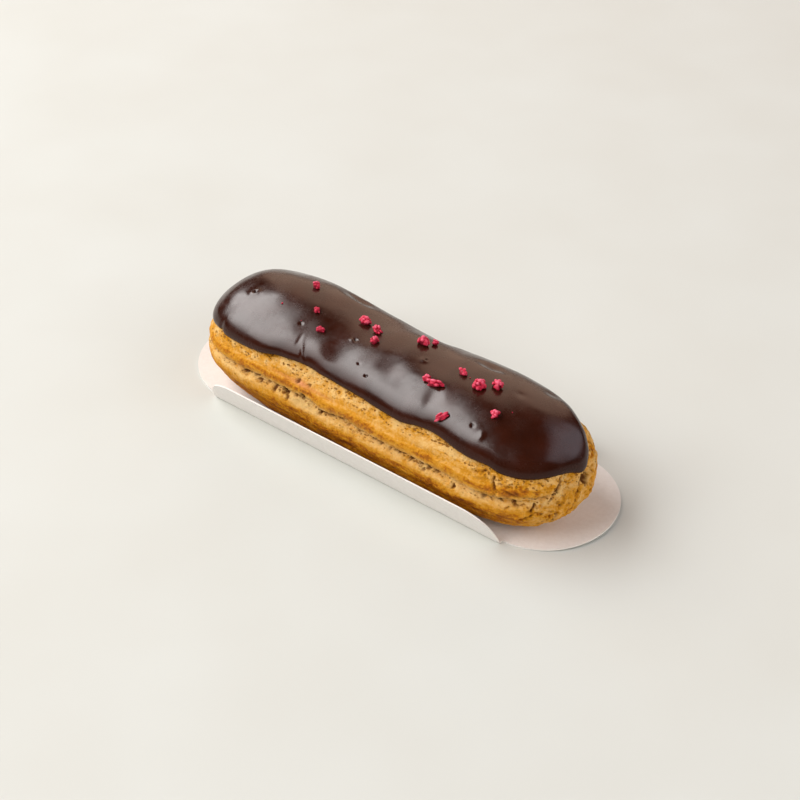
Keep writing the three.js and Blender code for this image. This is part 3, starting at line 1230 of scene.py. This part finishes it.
    def shape_end(
        self, ground: Ground, relief: np.ndarray, bake: np.ndarray, rough: np.ndarray
    ) -> tuple[np.ndarray, np.ndarray]:
        """Raises the lobes where the flutes curl up round the +X end.

        Args:
            ground: the places and their regions.
            relief: the relief so far.
            bake: the baking so far.
            rough: fine unevenness.

        Returns:
            The new relief and baking.
        """
        girth, height = ground.girth, ground.height
        from_lobe = np.hypot((girth - 63.0) / 8.6, (height - 21.2) / 3.0)
        lobe = smoothstep(1 - from_lobe + 0.08 * rough, 0.0, 0.5)
        aside = girth - 76.0 - 0.5 * (height - 15.0)
        below_icing = 1 - smoothstep(height, 21.0, 25.0)
        curl = bell(aside, 3.0) * smoothstep(height, 7.0, 12.0) * below_icing
        trough = bell(aside - 5.0, 1.3) + bell(aside + 5.4, 1.3)
        trough *= smoothstep(height, 8.0, 13.0) * below_icing
        foot = self.foot.share(girth, height)
        relief = relief + 0.55 * lobe + 0.45 * curl - 0.3 * trough + 0.2 * foot
        return relief, bake + 0.22 * (lobe + curl - trough)

    def pit_depths(self, ground: Ground, rough: np.ndarray) -> tuple[np.ndarray, np.ndarray]:
        """Sinks the named pits and splits.

        Args:
            ground: the places and their regions.
            rough: fine unevenness that frays their outlines.

        Returns:
            How deep each place is sunk, and how far the splits' lips lift it, in mm.
        """
        depth, rim = np.zeros(len(rough)), np.zeros(len(rough))
        for pit in self.pits:
            near, along, up = self.near(ground, pit.girth, pit.height, self.pit_reach)
            along, up = turned(along, up, pit.lean)
            far = np.hypot(
                along / (pit.half_length + self.fray), up / (pit.half_height + self.fray)
            )
            sunk = 1.25 * pit.depth * smoothstep(1.35 - far + 0.55 * rough[near], 0.0, 0.6)
            depth[near] = np.maximum(depth[near], sunk)
        for split in self.splits:
            for (g0, h0), (g1, h1) in zip(split.run, split.run[1:]):
                length = math.hypot(g1 - g0, h1 - h0)
                near, along, up = self.near(ground, (g0 + g1) / 2, (h0 + h1) / 2, length)
                lean = math.atan2(h1 - h0, g1 - g0)
                along, aside = turned(along, up, lean)
                aside = np.hypot(np.maximum(np.abs(along) - length / 2, 0.0), aside)
                width = split.half_width * (0.75 + 0.8 * rough[near]) + self.fray
                sunk = split.depth * smoothstep(1.4 - aside / width, 0.0, 1.2)
                depth[near] = np.maximum(depth[near], sunk * (0.62 + 0.7 * rough[near]))
                lifted = 0.55 * split.depth * bell(aside / split.half_width - 3.2, 1.7)
                rim[near] = np.maximum(rim[near], lifted * (0.7 + 0.5 * rough[near]))
        return depth, rim

    def near(
        self, ground: Ground, girth: float, height: float, reach: float
    ) -> tuple[np.ndarray, np.ndarray, np.ndarray]:
        """Picks the places round a feature of the crust.

        Args:
            ground: the places and their regions.
            girth: the feature's middle, round the shell.
            height: the feature's middle, above the base.
            reach: how far round the shell the feature reaches, in mm.

        Returns:
            The numbers of the places, and how far each is along and above the middle.
        """
        along, up = ground.girth - girth, ground.height - height
        near = np.flatnonzero((np.abs(along) < reach) & (np.abs(up) < self.pit_reach))
        return near, along[near], up[near]

    def far_pits(self, ground: Ground) -> np.ndarray:
        """Scatters pits along the seam on the side and end away from the named ones.

        Args:
            ground: the places and their regions.

        Returns:
            How deep each place is sunk, in mm.
        """
        girth = ground.girth
        away = np.clip(smoothstep(girth, 100.0, 108.0) + smoothstep(-girth, 55.0, 60.0), 0, 1)
        stretched = ground.points * np.array([0.55, 0.8, 1.0])
        near = SeededNoise(self.seed + 1).bubbles(stretched, 1.9, 0.6)
        in_seam = bell(ground.level - self.seam_level, 0.9)
        return away * in_seam * smoothstep(0.75 - near, 0.0, 0.5)

    def build(self) -> bpy.types.Object:
        """Builds and dresses the shell."""
        return self.dress(self.mesh(), ChouxFinish().material())


@dataclass(frozen=True)
class Dimple:
    """A small hollow (negative rise) or pimple (positive) in the icing, with its half sizes."""

    x: float
    y: float
    rise: float
    half_x: float
    half_y: float
    lean: float = 0.0


@dataclass
class ChocolateIcing(Piece):
    """The cap of icing that the eclair was dipped in, with its rolled edge and soft waves."""

    name: str = "icing_cap"
    slot: str = "chocolate"
    stands_for: tuple[str, ...] = ("chocolate_icing",)
    form: EclairForm = EclairForm()
    spine_half: float = 48.0
    side_steps: int = 200
    end_steps: int = 110
    inner_rows: int = 12
    under_rows: int = 4
    lip_rows: int = 16
    outer_rows: int = 54
    thickness: float = 2.1
    under_radius: float = 0.35
    lip_rise: float = 0.12
    lip_width: float = 4.6
    bedding: float = 0.15
    seed: int = 23
    longest_ray: float = 27.0
    ray_points: int = 900
    line_points: int = 500
    ripple: Lumps = Lumps(0.28, 7.0, 0, 2)
    waves: tuple[Lumps, ...] = (Lumps(0.50, 17.0, 31, 1), Lumps(0.13, 7.5, 7, 1))
    nick_girth: float = -56.6
    nick_width: float = 1.0
    nick_rise: float = 0.8
    pinhole_rise: float = -0.45
    pinhole_half: float = 1.0
    dimples: tuple[Dimple, ...] = (
        Dimple(-51.6, -6.3, 0.62, 2.0, 1.6), Dimple(-51.4, -5.8, -1.0, 0.6, 0.5),
        Dimple(-29.4, -8.9, -0.8, 0.35, 0.35), Dimple(-3.5, -10.9, -0.6, 0.30, 0.30),
        Dimple(1.2, -12.9, -0.8, 0.35, 0.35), Dimple(40.9, -12.3, -0.7, 0.32, 0.32),
        Dimple(-11.0, -4.6, -0.8, 0.45, 0.35), Dimple(-11.8, -5.1, 0.25, 0.6, 0.5),
        Dimple(13.0, -0.5, 0.30, 1.2, 1.0), Dimple(13.3, -0.2, -0.5, 0.45, 0.35),
        Dimple(44.8, -13.1, 0.34, 0.8, 0.8), Dimple(-25.0, 13.0, -0.85, 4.6, 1.5),
        Dimple(29.6, 9.8, -0.60, 4.0, 1.4),
        Dimple(-17.6, -13.2, 0.75, 4.6, 2.8), Dimple(-22.4, -15.5, 0.34, 0.5, 2.6, 0.75),
        Dimple(6.5, -8.0, -0.34, 4.4, 3.6), Dimple(44.8, 3.9, -0.22, 1.8, 1.2),
        Dimple(-26.0, -13.2, -0.18, 0.4, 1.5, 0.2), Dimple(-6.0, -14.0, -0.25, 7.0, 3.0),
        Dimple(8.0, 14.0, -0.45, 3.6, 1.6), Dimple(50.0, 12.0, -0.40, 2.6, 1.6),
        Dimple(25.0, -12.0, -0.44, 2.1, 3.2, 0.3), Dimple(46.0, -9.0, 0.40, 8.0, 5.0),
    )

    def edge_height(self, x: np.ndarray, y: np.ndarray) -> np.ndarray:
        """Gives the height of the icing's edge over the plan.

        Args:
            x: places along the eclair.
            y: places across it.

        Returns:
            The heights above the shell's base.
        """
        girth = self.form.girth(np.stack([x, y], -1).reshape(-1, 2)).reshape(x.shape)
        # A nick, where the icing drew back from a knob of crust.
        nick = bell(girth - self.nick_girth, self.nick_width)
        return self.form.icing_edge(girth) + self.nick_rise * nick

    def spine(self, step: np.ndarray) -> tuple[np.ndarray, np.ndarray]:
        """Lays out the rays along which the icing runs down from its crest.

        Args:
            step: each ray's number, counted round the cap.

        Returns:
            Where each ray starts on the crest, and its direction in plan.
        """
        side, end = self.side_steps, self.end_steps
        step = step % (2 * (side + end))
        along = np.where(step < side, step / side, 0.0)
        along = np.where((step >= side) & (step < side + end), 1.0, along)
        back = (step >= side + end) & (step < 2 * side + end)
        along = np.where(back, 1 - (step - side - end) / side, along)
        angle = np.where(
            step < side, 0.0,
            np.where(step < side + end, (step - side) / end * math.pi,
                     np.where(back, math.pi, math.pi * (1 + (step - 2 * side - end) / end))),
        )
        x = self.spine_half * (2 * along - 1)
        start = np.stack([x, self.form.drift(x / self.form.half_length)], -1)
        return start, np.stack([np.sin(angle), -np.cos(angle)], -1)

    def section(self) -> np.ndarray:
        """Draws the icing's section, from the crest inside, round the lip, to the crest outside.

        Returns:
            For each row: the distance from the edge in mm, the share of the rest of the way to
            the crest, and the height over the form, which outside rows take from the icing's
            thickness instead and hold as infinite.
        """
        radius, over = self.under_radius, math.inf
        rows = [(radius, (1 - k / self.inner_rows) ** 1.2, -self.bedding)
                for k in range(self.inner_rows)]
        for k in range(self.under_rows):
            angle = math.pi / 2 * k / self.under_rows
            rows.append((radius * (1 - math.sin(angle)), 0.0,
                         radius * (1 - math.cos(angle)) - self.bedding))
        for k in range(self.lip_rows):
            angle = math.pi / 2 * k / self.lip_rows
            rows.append((self.lip_width * (1 - math.cos(angle)), 0.0, over))
        for k in range(self.outer_rows + 1):
            rows.append((self.lip_width, (k / self.outer_rows) ** 1.35, over))
        return np.array(rows)

    def mesh(self) -> bpy.types.Mesh:
        """Pours the icing: a ball whose rings become the section's rows.

        Returns:
            The finished mesh with its marks.
        """
        section = self.section()
        around = 2 * (self.side_steps + self.end_steps)
        ball = bmesh.new()
        bmesh.ops.create_uvsphere(
            ball, u_segments=around, v_segments=len(section) + 1, radius=1.0
        )
        poles = [v for v in ball.verts if abs(v.co.z) > 1 - 1e-9]
        bmesh.ops.delete(ball, geom=poles, context="VERTS")
        mesh = bpy.data.meshes.new(self.name)
        ball.to_mesh(mesh)
        ball.free()
        unit = self.places(mesh)
        polar = np.arccos(np.clip(unit[:, 2], -1.0, 1.0)) / math.pi * (len(section) + 1)
        row = len(section) - np.rint(polar).astype(int)
        step = np.rint(np.arctan2(unit[:, 1], unit[:, 0]) / (2 * math.pi) * around).astype(int)
        points, marks = self.pour(section[row], step % around)
        self.move_to(mesh, self.form.place(points) * MM)
        for name, values in marks.items():
            self.mark(mesh, name, values)
        self.close_crest(mesh)
        return mesh

    def close_crest(self, mesh: bpy.types.Mesh) -> None:
        """Joins the two sides where they meet along the crest, outside and inside.

        Args:
            mesh: the cap, whose two sides end in the same places there.
        """
        cap = bmesh.new()
        cap.from_mesh(mesh)
        bmesh.ops.remove_doubles(cap, verts=cap.verts, dist=2e-6)
        bmesh.ops.dissolve_degenerate(cap, edges=cap.edges, dist=1e-7)
        bmesh.ops.recalc_face_normals(cap, faces=cap.faces)
        cap.to_mesh(mesh)
        cap.free()

    def pour(
        self, section: np.ndarray, step: np.ndarray
    ) -> tuple[np.ndarray, dict[str, np.ndarray]]:
        """Lays every vertex of the cap on the form.

        Args:
            section: each vertex's row of the section.
            step: each vertex's ray.

        Returns:
            The places in the eclair's axes, and the marks.
        """
        form, noise = self.form, SeededNoise(self.seed)
        start, heading, rim = self.rays(noise)
        run = rim[:, None] * np.linspace(0.0, 1.0, self.line_points)
        line_x = start[:, :1] + heading[:, :1] * run
        line_y = start[:, 1:] + heading[:, 1:] * run
        line_z = form.crown(line_x, line_y)
        hop = np.sqrt(
            np.diff(line_x, axis=1) ** 2 + np.diff(line_y, axis=1) ** 2
            + np.diff(line_z, axis=1) ** 2
        )
        arc = np.concatenate([np.zeros((len(rim), 1)), np.cumsum(hop, axis=1)], axis=1)
        full = arc[:, -1]
        back = section[:, 0] + section[:, 1] * (full[step] - section[:, 0])
        target = full[step] - back
        plan = np.empty((len(step), 2))
        for ray in range(len(rim)):
            mine = np.flatnonzero(step == ray)
            plan[mine, 0] = np.interp(target[mine], arc[ray], line_x[ray])
            plan[mine, 1] = np.interp(target[mine], arc[ray], line_y[ray])
        points = np.stack([plan[:, 0], plan[:, 1], form.crown(plan[:, 0], plan[:, 1])], -1)
        normals = self.form_normals(plan)
        outside = np.isinf(section[:, 2])
        grown, pit = self.thickness_at(points, back, noise)
        offset = np.where(outside, grown, section[:, 2])
        marks = {
            "pit": np.where(outside, pit, 0.0),
            "rolled": 1 - smoothstep(back, 0.4 * self.lip_width, 1.45 * self.lip_width),
        }
        return points + normals * offset[:, None], marks

    def rays(self, noise: SeededNoise) -> tuple[np.ndarray, np.ndarray, np.ndarray]:
        """Follows the icing from its crest down to its edge, ray by ray.

        Args:
            noise: the icing's own unevenness.

        Returns:
            Where each ray starts, its direction in plan, and how far it runs there.
        """
        rays = np.arange(2 * (self.side_steps + self.end_steps))
        start, heading = self.spine(rays.astype(float))
        reach = np.linspace(0.0, self.longest_ray, self.ray_points)
        x = start[:, :1] + heading[:, :1] * reach
        y = start[:, 1:] + heading[:, 1:] * reach
        ripple = self.ripple.read(noise, np.stack([x, y, 0 * x], -1).reshape(-1, 3))
        over = self.form.crown(x, y) - self.edge_height(x, y) - ripple.reshape(x.shape)
        last = np.argmax(over < 0, axis=1)
        above, below = over[rays, last - 1], over[rays, last]
        rim = reach[last - 1] + above / (above - below) * (reach[1] - reach[0])
        return start, heading, rim

    def form_normals(self, plan: np.ndarray) -> np.ndarray:
        """Finds the form's outward directions.

        Args:
            plan: places of the form's plan, as rows of two.

        Returns:
            The directions as rows of three.
        """
        h = 0.02
        x, y = plan[:, 0], plan[:, 1]
        slope_x = (self.form.crown(x + h, y) - self.form.crown(x - h, y)) / (2 * h)
        slope_y = (self.form.crown(x, y + h) - self.form.crown(x, y - h)) / (2 * h)
        normals = np.stack([-slope_x, -slope_y, np.ones_like(x)], -1)
        return normals / np.linalg.norm(normals, axis=1)[:, None]

    def thickness_at(
        self, points: np.ndarray, back: np.ndarray, noise: SeededNoise
    ) -> tuple[np.ndarray, np.ndarray]:
        """Works out how thick the icing lies, with its lip, waves, pimples and pinholes.

        Args:
            points: places on the form.
            back: how far each is from the icing's edge, in mm.
            noise: the icing's own unevenness.

        Returns:
            The thickness in mm, and the mark that paints shade into the pinholes.
        """
        edge = self.under_radius - self.bedding
        grow = np.sqrt(1 - (1 - np.clip(back / self.lip_width, 0.0, 1.0)) ** 2)
        full = self.thickness + self.lip_rise * bell(back - self.lip_width, self.lip_width)
        thick = edge + (full - edge) * grow
        thick += smoothstep(back, 1.0, 7.0) * sum(wave.read(noise, points) for wave in self.waves)
        pit = np.zeros(len(points))
        for dimple in self.dimples:
            along, across = turned(
                points[:, 0] - dimple.x, points[:, 1] - dimple.y, dimple.lean
            )
            shape = bell(np.hypot(along / dimple.half_x, across / dimple.half_y), 1.0)
            thick += dimple.rise * shape
            # Small deep dimples are pinholes, whose mark paints shade into them.
            if dimple.rise < self.pinhole_rise and dimple.half_x < self.pinhole_half:
                pit = np.maximum(pit, 0.9 * smoothstep(shape, 0.25, 0.8))
        return thick, pit

    def surface(self, x: float, y: float) -> tuple[Vector, Vector]:
        """Finds a place on top of the icing.

        Args:
            x: place along the eclair.
            y: place across it.

        Returns:
            The place in mm in the eclair's own axes, and the outward direction there.
        """
        plan = np.array([[x, y]])
        point = np.array([[x, y, self.form.crown(plan[:, 0], plan[:, 1])[0]]])
        thick, _ = self.thickness_at(point, np.array([12.0]), SeededNoise(self.seed))
        normal = self.form_normals(plan)[0]
        return Vector(point[0] + normal * thick[0]), Vector(normal)

    def build(self) -> bpy.types.Object:
        """Builds and dresses the icing."""
        return self.dress(self.mesh(), ChocolateFinish().material())


@dataclass(frozen=True)
class Crumb:
    """One crumb of dried berry: where it lies on the icing, its size, lumps and stretch."""

    x: float
    y: float
    size: float
    lumps: int
    stretch: float = 1.0
    turn: float = 0.0


@dataclass
class BerryCrumbs(Piece):
    """The crumbs of dried raspberry scattered along the icing, each a knot of small lumps."""

    name: str = "raspberry_crumbs"
    slot: str = "dried_berry"
    stands_for: tuple[str, ...] = ("berry_crumb_a", "berry_crumb_b", "berry_crumb_c")
    icing: ChocolateIcing = field(default_factory=ChocolateIcing)
    seed: int = 5
    crumbs: tuple[Crumb, ...] = (
        Crumb(-37.5, 6.3, 3.0, 12), Crumb(-28.6, -2.7, 2.6, 10), Crumb(-22.4, -7.6, 2.6, 10, 1.2),
        Crumb(-14.4, 3.5, 3.7, 16, 1.15, 0.4), Crumb(-8.3, 2.3, 3.5, 14, 1.3, -0.5),
        Crumb(-5.0, -2.5, 3.1, 14), Crumb(7.2, 5.5, 4.1, 20), Crumb(9.4, 8.2, 2.5, 10),
        Crumb(19.5, -6.8, 2.9, 12, 1.2, 0.3), Crumb(22.9, -7.3, 3.7, 15, 1.7, 0.5),
        Crumb(26.3, 0.6, 3.0, 12, 1.3, 1.4), Crumb(34.1, -1.5, 4.3, 24),
        Crumb(38.2, 1.8, 3.7, 18), Crumb(31.4, -13.9, 3.0, 11, 1.8, 0.9),
        Crumb(44.7, -7.4, 3.1, 13),
    )
    flecks: int = 4
    fleck_size: tuple[float, float] = (0.5, 0.8)
    seat_share: float = 0.38
    core_share: float = 0.62
    lump_share: tuple[float, float] = (0.22, 0.42)
    lump_reach: tuple[float, float] = (0.9, 1.08)
    wrinkles: tuple[Lumps, ...] = (Lumps(0.34, 1.1, 0, 2), Lumps(0.16, 0.5, 5, 2))

    def build(self) -> bpy.types.Object:
        """Builds and dresses the crumbs, joined in one mesh.

        Returns:
            The crumbs.
        """
        draw = np.random.default_rng(self.seed)
        noise = SeededNoise(self.seed)
        heap = bmesh.new()
        outside = heap.verts.layers.float.new("outside")
        for crumb in self.crumbs:
            self.add_crumb(heap, outside, crumb, draw, noise)
        for _ in range(self.flecks):
            x, y = draw.uniform(-45, 50), draw.uniform(-9, 9)
            fleck = Crumb(x, y, draw.uniform(*self.fleck_size), 2)
            self.add_crumb(heap, outside, fleck, draw, noise)
        mesh = bpy.data.meshes.new(self.name)
        heap.to_mesh(mesh)
        heap.free()
        self.move_to(mesh, self.icing.form.place(self.places(mesh)) * MM)
        return self.dress(mesh, BerryFinish().material())

    def add_crumb(
        self,
        heap: bmesh.types.BMesh,
        outside: bmesh.types.BMLayerItem,
        crumb: Crumb,
        draw: np.random.Generator,
        noise: SeededNoise,
    ) -> None:
        """Adds one crumb, lump by lump.

        Args:
            heap: the mesh that all crumbs share.
            outside: the mark that says how far out a place is on its crumb and how far up it
                faces, which paints light on the tops and shade underneath and between lumps.
            crumb: which crumb.
            draw: where the random numbers come from.
            noise: the berry's own unevenness.
        """
        place, up = self.icing.surface(crumb.x, crumb.y)
        half = crumb.size / 2
        facing = up.to_track_quat("Z", "Y").to_matrix().to_4x4()
        stretched = Matrix.Rotation(crumb.turn, 4, "Z") @ Matrix.Diagonal(
            (crumb.stretch, 1 / crumb.stretch**0.5, 1.0, 1.0)
        )
        seat = Matrix.Translation(place + up * half * self.seat_share) @ facing @ stretched
        for lump in range(crumb.lumps):
            centre, radius = Vector(), half * self.core_share
            if lump:
                direction = Vector(draw.normal(size=3))
                direction.z = abs(direction.z) - 0.25
                radius = half * draw.uniform(*self.lump_share)
                centre = direction.normalized() * (half * draw.uniform(*self.lump_reach) - radius)
            made = bmesh.ops.create_icosphere(
                heap, subdivisions=3 if lump == 0 and crumb.size > 1 else 2, radius=radius,
                matrix=Matrix.Translation(centre),
            )["verts"]
            # Each crumb reads another stretch of the noise, so that no two wrinkle alike.
            spots = np.array([v.co for v in made]) + 13.7 * crumb.x
            push = sum(wrinkle.read(noise, spots) for wrinkle in self.wrinkles)
            for vertex, amount in zip(made, push):
                vertex.co = centre + (vertex.co - centre) * (1 + float(amount))
                # Places far out are paler and places deep between lumps deeper; places facing up
                # are paler still, painted light on the tops and painted shade underneath.
                far = vertex.co.length / half
                lit = 0.16 + 0.34 * vertex.co.normalized().z
                vertex[outside] = max(0.0, min(1.0, 1.3 * (far - 0.72) + lit))
            bmesh.ops.transform(heap, matrix=seat, verts=made)


@dataclass
class CardTray(Piece):
    """The die-cut card: a flat base with round ends and two long sides creased upwards."""

    name: str = "card_case"
    slot: str = "white_card"
    stands_for: tuple[str, ...] = ("card_tray",)
    board: float = 0.45
    fold_half_width: float = 24.8
    end_radius: float = 23.4
    half_length: float = 78.8
    flap_width: float = 11.5
    near_lean: float = math.radians(22)
    far_lean: float = math.radians(6)
    flap_half_length: float = 56.5
    corner_length: float = 12.0
    corner_rise: float = 7.0
    corner_pull: tuple[float, float] = (0.5, 4.0)
    shift_y: float = 1.553
    crease_radius: float = 0.75
    crease_rows: int = 6
    flat_rows: int = 8
    end_steps: int = 44
    corner_steps: int = 30
    straight_steps: int = 24
    notch: float = 0.05
    end_curl: float = 0.9
    cut_round: float = 0.12
    merge: float = 0.004

    def stations(self) -> np.ndarray:
        """Lays out the places along the card where its sections stand.

        Returns:
            The places in mm, close together where the outline bends.
        """
        foot, tip = self.flap_half_length, self.half_length
        turn = np.linspace(0.0, math.pi / 2, self.end_steps + 1)
        end = foot + self.notch + (tip - foot - self.notch) * np.sin(turn)
        corner = self.flap_corner()[0]
        middle = np.linspace(0.0, corner.min(), self.straight_steps, endpoint=False)
        right = np.concatenate([middle, corner[::-1], end])
        return np.concatenate([-right[:0:-1], right])

    def flap_corner(self) -> tuple[np.ndarray, np.ndarray]:
        """Traces a flap's rounded corner from its foot to its top edge.

        Returns:
            Places along the card, and the flap's width at each.
        """
        foot, top = self.flap_half_length, self.flap_half_length - self.corner_length
        low_pull, high_pull = self.corner_pull
        ways = np.array([(foot, 0.0), (foot - low_pull, self.corner_rise),
                         (foot - high_pull, self.flap_width), (top, self.flap_width)])
        t = np.linspace(0.0, 1.0, self.corner_steps + 1)[:, None]
        weights = np.hstack([(1 - t) ** 3, 3 * t * (1 - t) ** 2, 3 * t**2 * (1 - t), t**3])
        line = weights @ ways
        return line[:, 0], line[:, 1]

    def half_section(self, x: float, lean: float) -> list[tuple[float, float]]:
        """Draws half the card's section across: base, crease and flap.

        Args:
            x: the place along the card.
            lean: how far the flap leans out from upright.

        Returns:
            Distances from the middle line with their heights, from the middle to the flap's top.
        """
        level = self.board / 2
        count = self.crease_rows + self.flat_rows
        if abs(x) > self.flap_half_length:
            centre = self.half_length - self.end_radius
            half = math.sqrt(max(0.0, self.end_radius**2 - max(0.0, abs(x) - centre) ** 2))
            inner = [(half * k / self.flat_rows, level) for k in range(self.flat_rows + 1)]
            return inner + [(half, level)] * count
        hinge = self.fold_half_width - level
        fold = math.pi / 2 - lean
        tangent = self.crease_radius * math.tan(fold / 2)
        places, widths = self.flap_corner()
        width = float(np.interp(-abs(x), -places, widths))
        reach = max(0.0, width - tangent)
        bend = fold * min(1.0, width / (2 * tangent))
        line = [((hinge - tangent) * k / self.flat_rows, level)
                for k in range(self.flat_rows + 1)]
        for k in range(1, self.crease_rows + 1):
            angle = bend * k / self.crease_rows
            line.append((hinge - tangent + self.crease_radius * math.sin(angle),
                         level + self.crease_radius * (1 - math.cos(angle))))
        end_y, end_z = line[-1]
        for k in range(1, self.flat_rows + 1):
            run = reach * k / self.flat_rows
            line.append((end_y + run * math.cos(bend), end_z + run * math.sin(bend)))
        return line

    def mesh(self) -> bpy.types.Mesh:
        """Cuts the sheet and creases it, along the board's middle; build gives it the board's
        thickness.

        Returns:
            The card's mesh.
        """
        stations = self.stations()
        rows = 2 * (2 * self.flat_rows + self.crease_rows) + 1
        sheet = bmesh.new()
        bmesh.ops.create_grid(
            sheet, x_segments=len(stations) - 1, y_segments=rows - 1, size=1.0
        )
        sections = {}
        for vertex in sheet.verts:
            column = round((vertex.co.x + 1) / 2 * (len(stations) - 1))
            row = round(vertex.co.y * (rows - 1) / 2)
            side, lean = (-1, self.near_lean) if row < 0 else (1, self.far_lean)
            if (column, side) not in sections:
                sections[column, side] = self.half_section(stations[column], lean)
            across, height = sections[column, side][abs(row)]
            past = max(0.0, abs(stations[column]) - self.flap_half_length)
            curl = self.end_curl * (past / (self.half_length - self.flap_half_length)) ** 2
            vertex.co = (stations[column], side * across + self.shift_y, height + curl)
        bmesh.ops.scale(sheet, vec=(MM, MM, MM), verts=sheet.verts)
        bmesh.ops.remove_doubles(sheet, verts=sheet.verts, dist=self.merge * MM)
        bmesh.ops.recalc_face_normals(sheet, faces=sheet.faces)
        mesh = bpy.data.meshes.new(self.name)
        sheet.to_mesh(mesh)
        sheet.free()
        return mesh

    def build(self) -> bpy.types.Object:
        """Builds and dresses the card.

        Returns:
            The card, with its thickness and softened edges as modifiers.
        """
        piece = self.dress(self.mesh(), CardFinish().material())
        thicken = piece.modifiers.new("board", "SOLIDIFY")
        thicken.thickness, thicken.offset = self.board * MM, 0.0
        soften = piece.modifiers.new("cut_edge", "BEVEL")
        soften.width, soften.segments = self.cut_round * MM, 2
        soften.limit_method, soften.angle_limit = "ANGLE", math.radians(50)
        soften.harden_normals = True
        return piece


# ------------------------------------------------------------------ studio


@dataclass(frozen=True)
class Softbox:
    """A soft light: where it stands as seen from the eclair, how wide it looks, how bright."""

    name: str
    azimuth: float
    elevation: float
    half_wide: float
    half_tall: float
    brightness: float
    colour: str
    mirrored: bool = True
    distance: float = 1.6


@dataclass
class Studio:
    """The pale table, the soft lights round it and the camera."""

    softboxes: tuple[Softbox, ...] = (
        Softbox("window", 205.0, 44.0, 38.0, 19.0, 5.5, "#fffcfa"),
        Softbox("window_glow", 250.0, 50.0, 20.0, 20.0, 0.6, "#fffcfa", mirrored=False),
        Softbox("fill_panel", 36.0, 38.0, 30.0, 21.0, 1.0, "#f8f3ff"),
        Softbox("back_panel", 117.0, 24.0, 24.0, 20.0, 1.1, "#ffdabf"),
        Softbox("front_glow", -16.0, 24.0, 34.0, 24.0, 1.6, "#fff8ee", mirrored=False),
    )
    world: str = "#0e0c0b"
    floor_half: float = 3.0
    camera_place: tuple[float, float, float] = (227.8, -292.6, 309.2)
    camera_aim: tuple[float, float, float] = (-10.4, 16.1, -3.8)
    lens: float = 68.0
    sensor: float = 36.0

    def lay_floor(self) -> bpy.types.Object:
        """Lays the table top under the card.

        Returns:
            The floor, which isn't part of the object.
        """
        plane = bmesh.new()
        bmesh.ops.create_grid(plane, x_segments=8, y_segments=8, size=self.floor_half)
        mesh = bpy.data.meshes.new("table_top")
        plane.to_mesh(mesh)
        plane.free()
        mesh.materials.append(FloorFinish().material())
        floor = bpy.data.objects.new("table_top", mesh)
        bpy.context.scene.collection.objects.link(floor)
        return floor

    def hang_light(self, box: Softbox) -> bpy.types.Object:
        """Hangs one softbox, facing the eclair.

        Args:
            box: which softbox.

        Returns:
            The light.
        """
        azimuth, elevation = math.radians(box.azimuth), math.radians(box.elevation)
        way = Vector((
            math.cos(elevation) * math.cos(azimuth),
            math.cos(elevation) * math.sin(azimuth),
            math.sin(elevation),
        ))
        lamp = bpy.data.lights.new(box.name, "AREA")
        lamp.shape = "RECTANGLE"
        lamp.size = 2 * box.distance * math.tan(math.radians(box.half_wide))
        lamp.size_y = 2 * box.distance * math.tan(math.radians(box.half_tall))
        lamp.energy = box.brightness * math.pi * lamp.size * lamp.size_y
        lamp.color = linear(box.colour)[:3]
        light = bpy.data.objects.new(box.name, lamp)
        light.location = way * box.distance
        light.rotation_euler = way.to_track_quat("Z", "Y").to_euler()
        light.visible_glossy = box.mirrored
        bpy.context.scene.collection.objects.link(light)
        return light

    def dim_room(self) -> None:
        """Gives the room round the lights its even, low brightness."""
        world = bpy.data.worlds.new("dim_room")
        world.use_nodes = True
        world.node_tree.nodes.clear()
        glow = add_node(
            world.node_tree, "ShaderNodeBackground",
            {"Color": linear(self.world), "Strength": 1.0},
        )
        add_node(world.node_tree, "ShaderNodeOutputWorld", {}, {"Surface": glow})
        bpy.context.scene.world = world

    def set_camera(self) -> bpy.types.Object:
        """Stands the camera where the eclair is looked at from.

        Returns:
            The camera.
        """
        view = bpy.data.cameras.new("camera")
        view.lens, view.sensor_width = self.lens, self.sensor
        view.clip_start, view.clip_end = 0.01, 20.0
        camera = bpy.data.objects.new("camera", view)
        camera.location = Vector(self.camera_place) * MM
        look = (Vector(self.camera_place) - Vector(self.camera_aim)).to_track_quat("Z", "Y")
        camera.rotation_euler = look.to_euler()
        bpy.context.scene.collection.objects.link(camera)
        bpy.context.scene.camera = camera
        return camera

    def build(self) -> None:
        """Sets up the floor, the lights, the room and the camera."""
        self.lay_floor()
        for box in self.softboxes:
            self.hang_light(box)
        self.dim_room()
        self.set_camera()
        bpy.context.scene.view_settings.view_transform = "Standard"


# ------------------------------------------------------------------ all together


def main() -> None:
    """Builds every piece in order and reports it."""
    logging.basicConfig(level=logging.INFO, format="%(name)s: %(message)s")
    form = EclairForm()
    icing = ChocolateIcing(form=form)
    makers = (CardTray(), ChouxShell(form=form), icing, BerryCrumbs(icing=icing))
    for maker in makers:
        piece = maker.build()
        triangles = sum(len(face.vertices) - 2 for face in piece.data.polygons)
        log.info("%s: %d triangles, slot %s", piece.name, triangles, maker.slot)
    Studio().build()


if __name__ == "__main__":
    main()
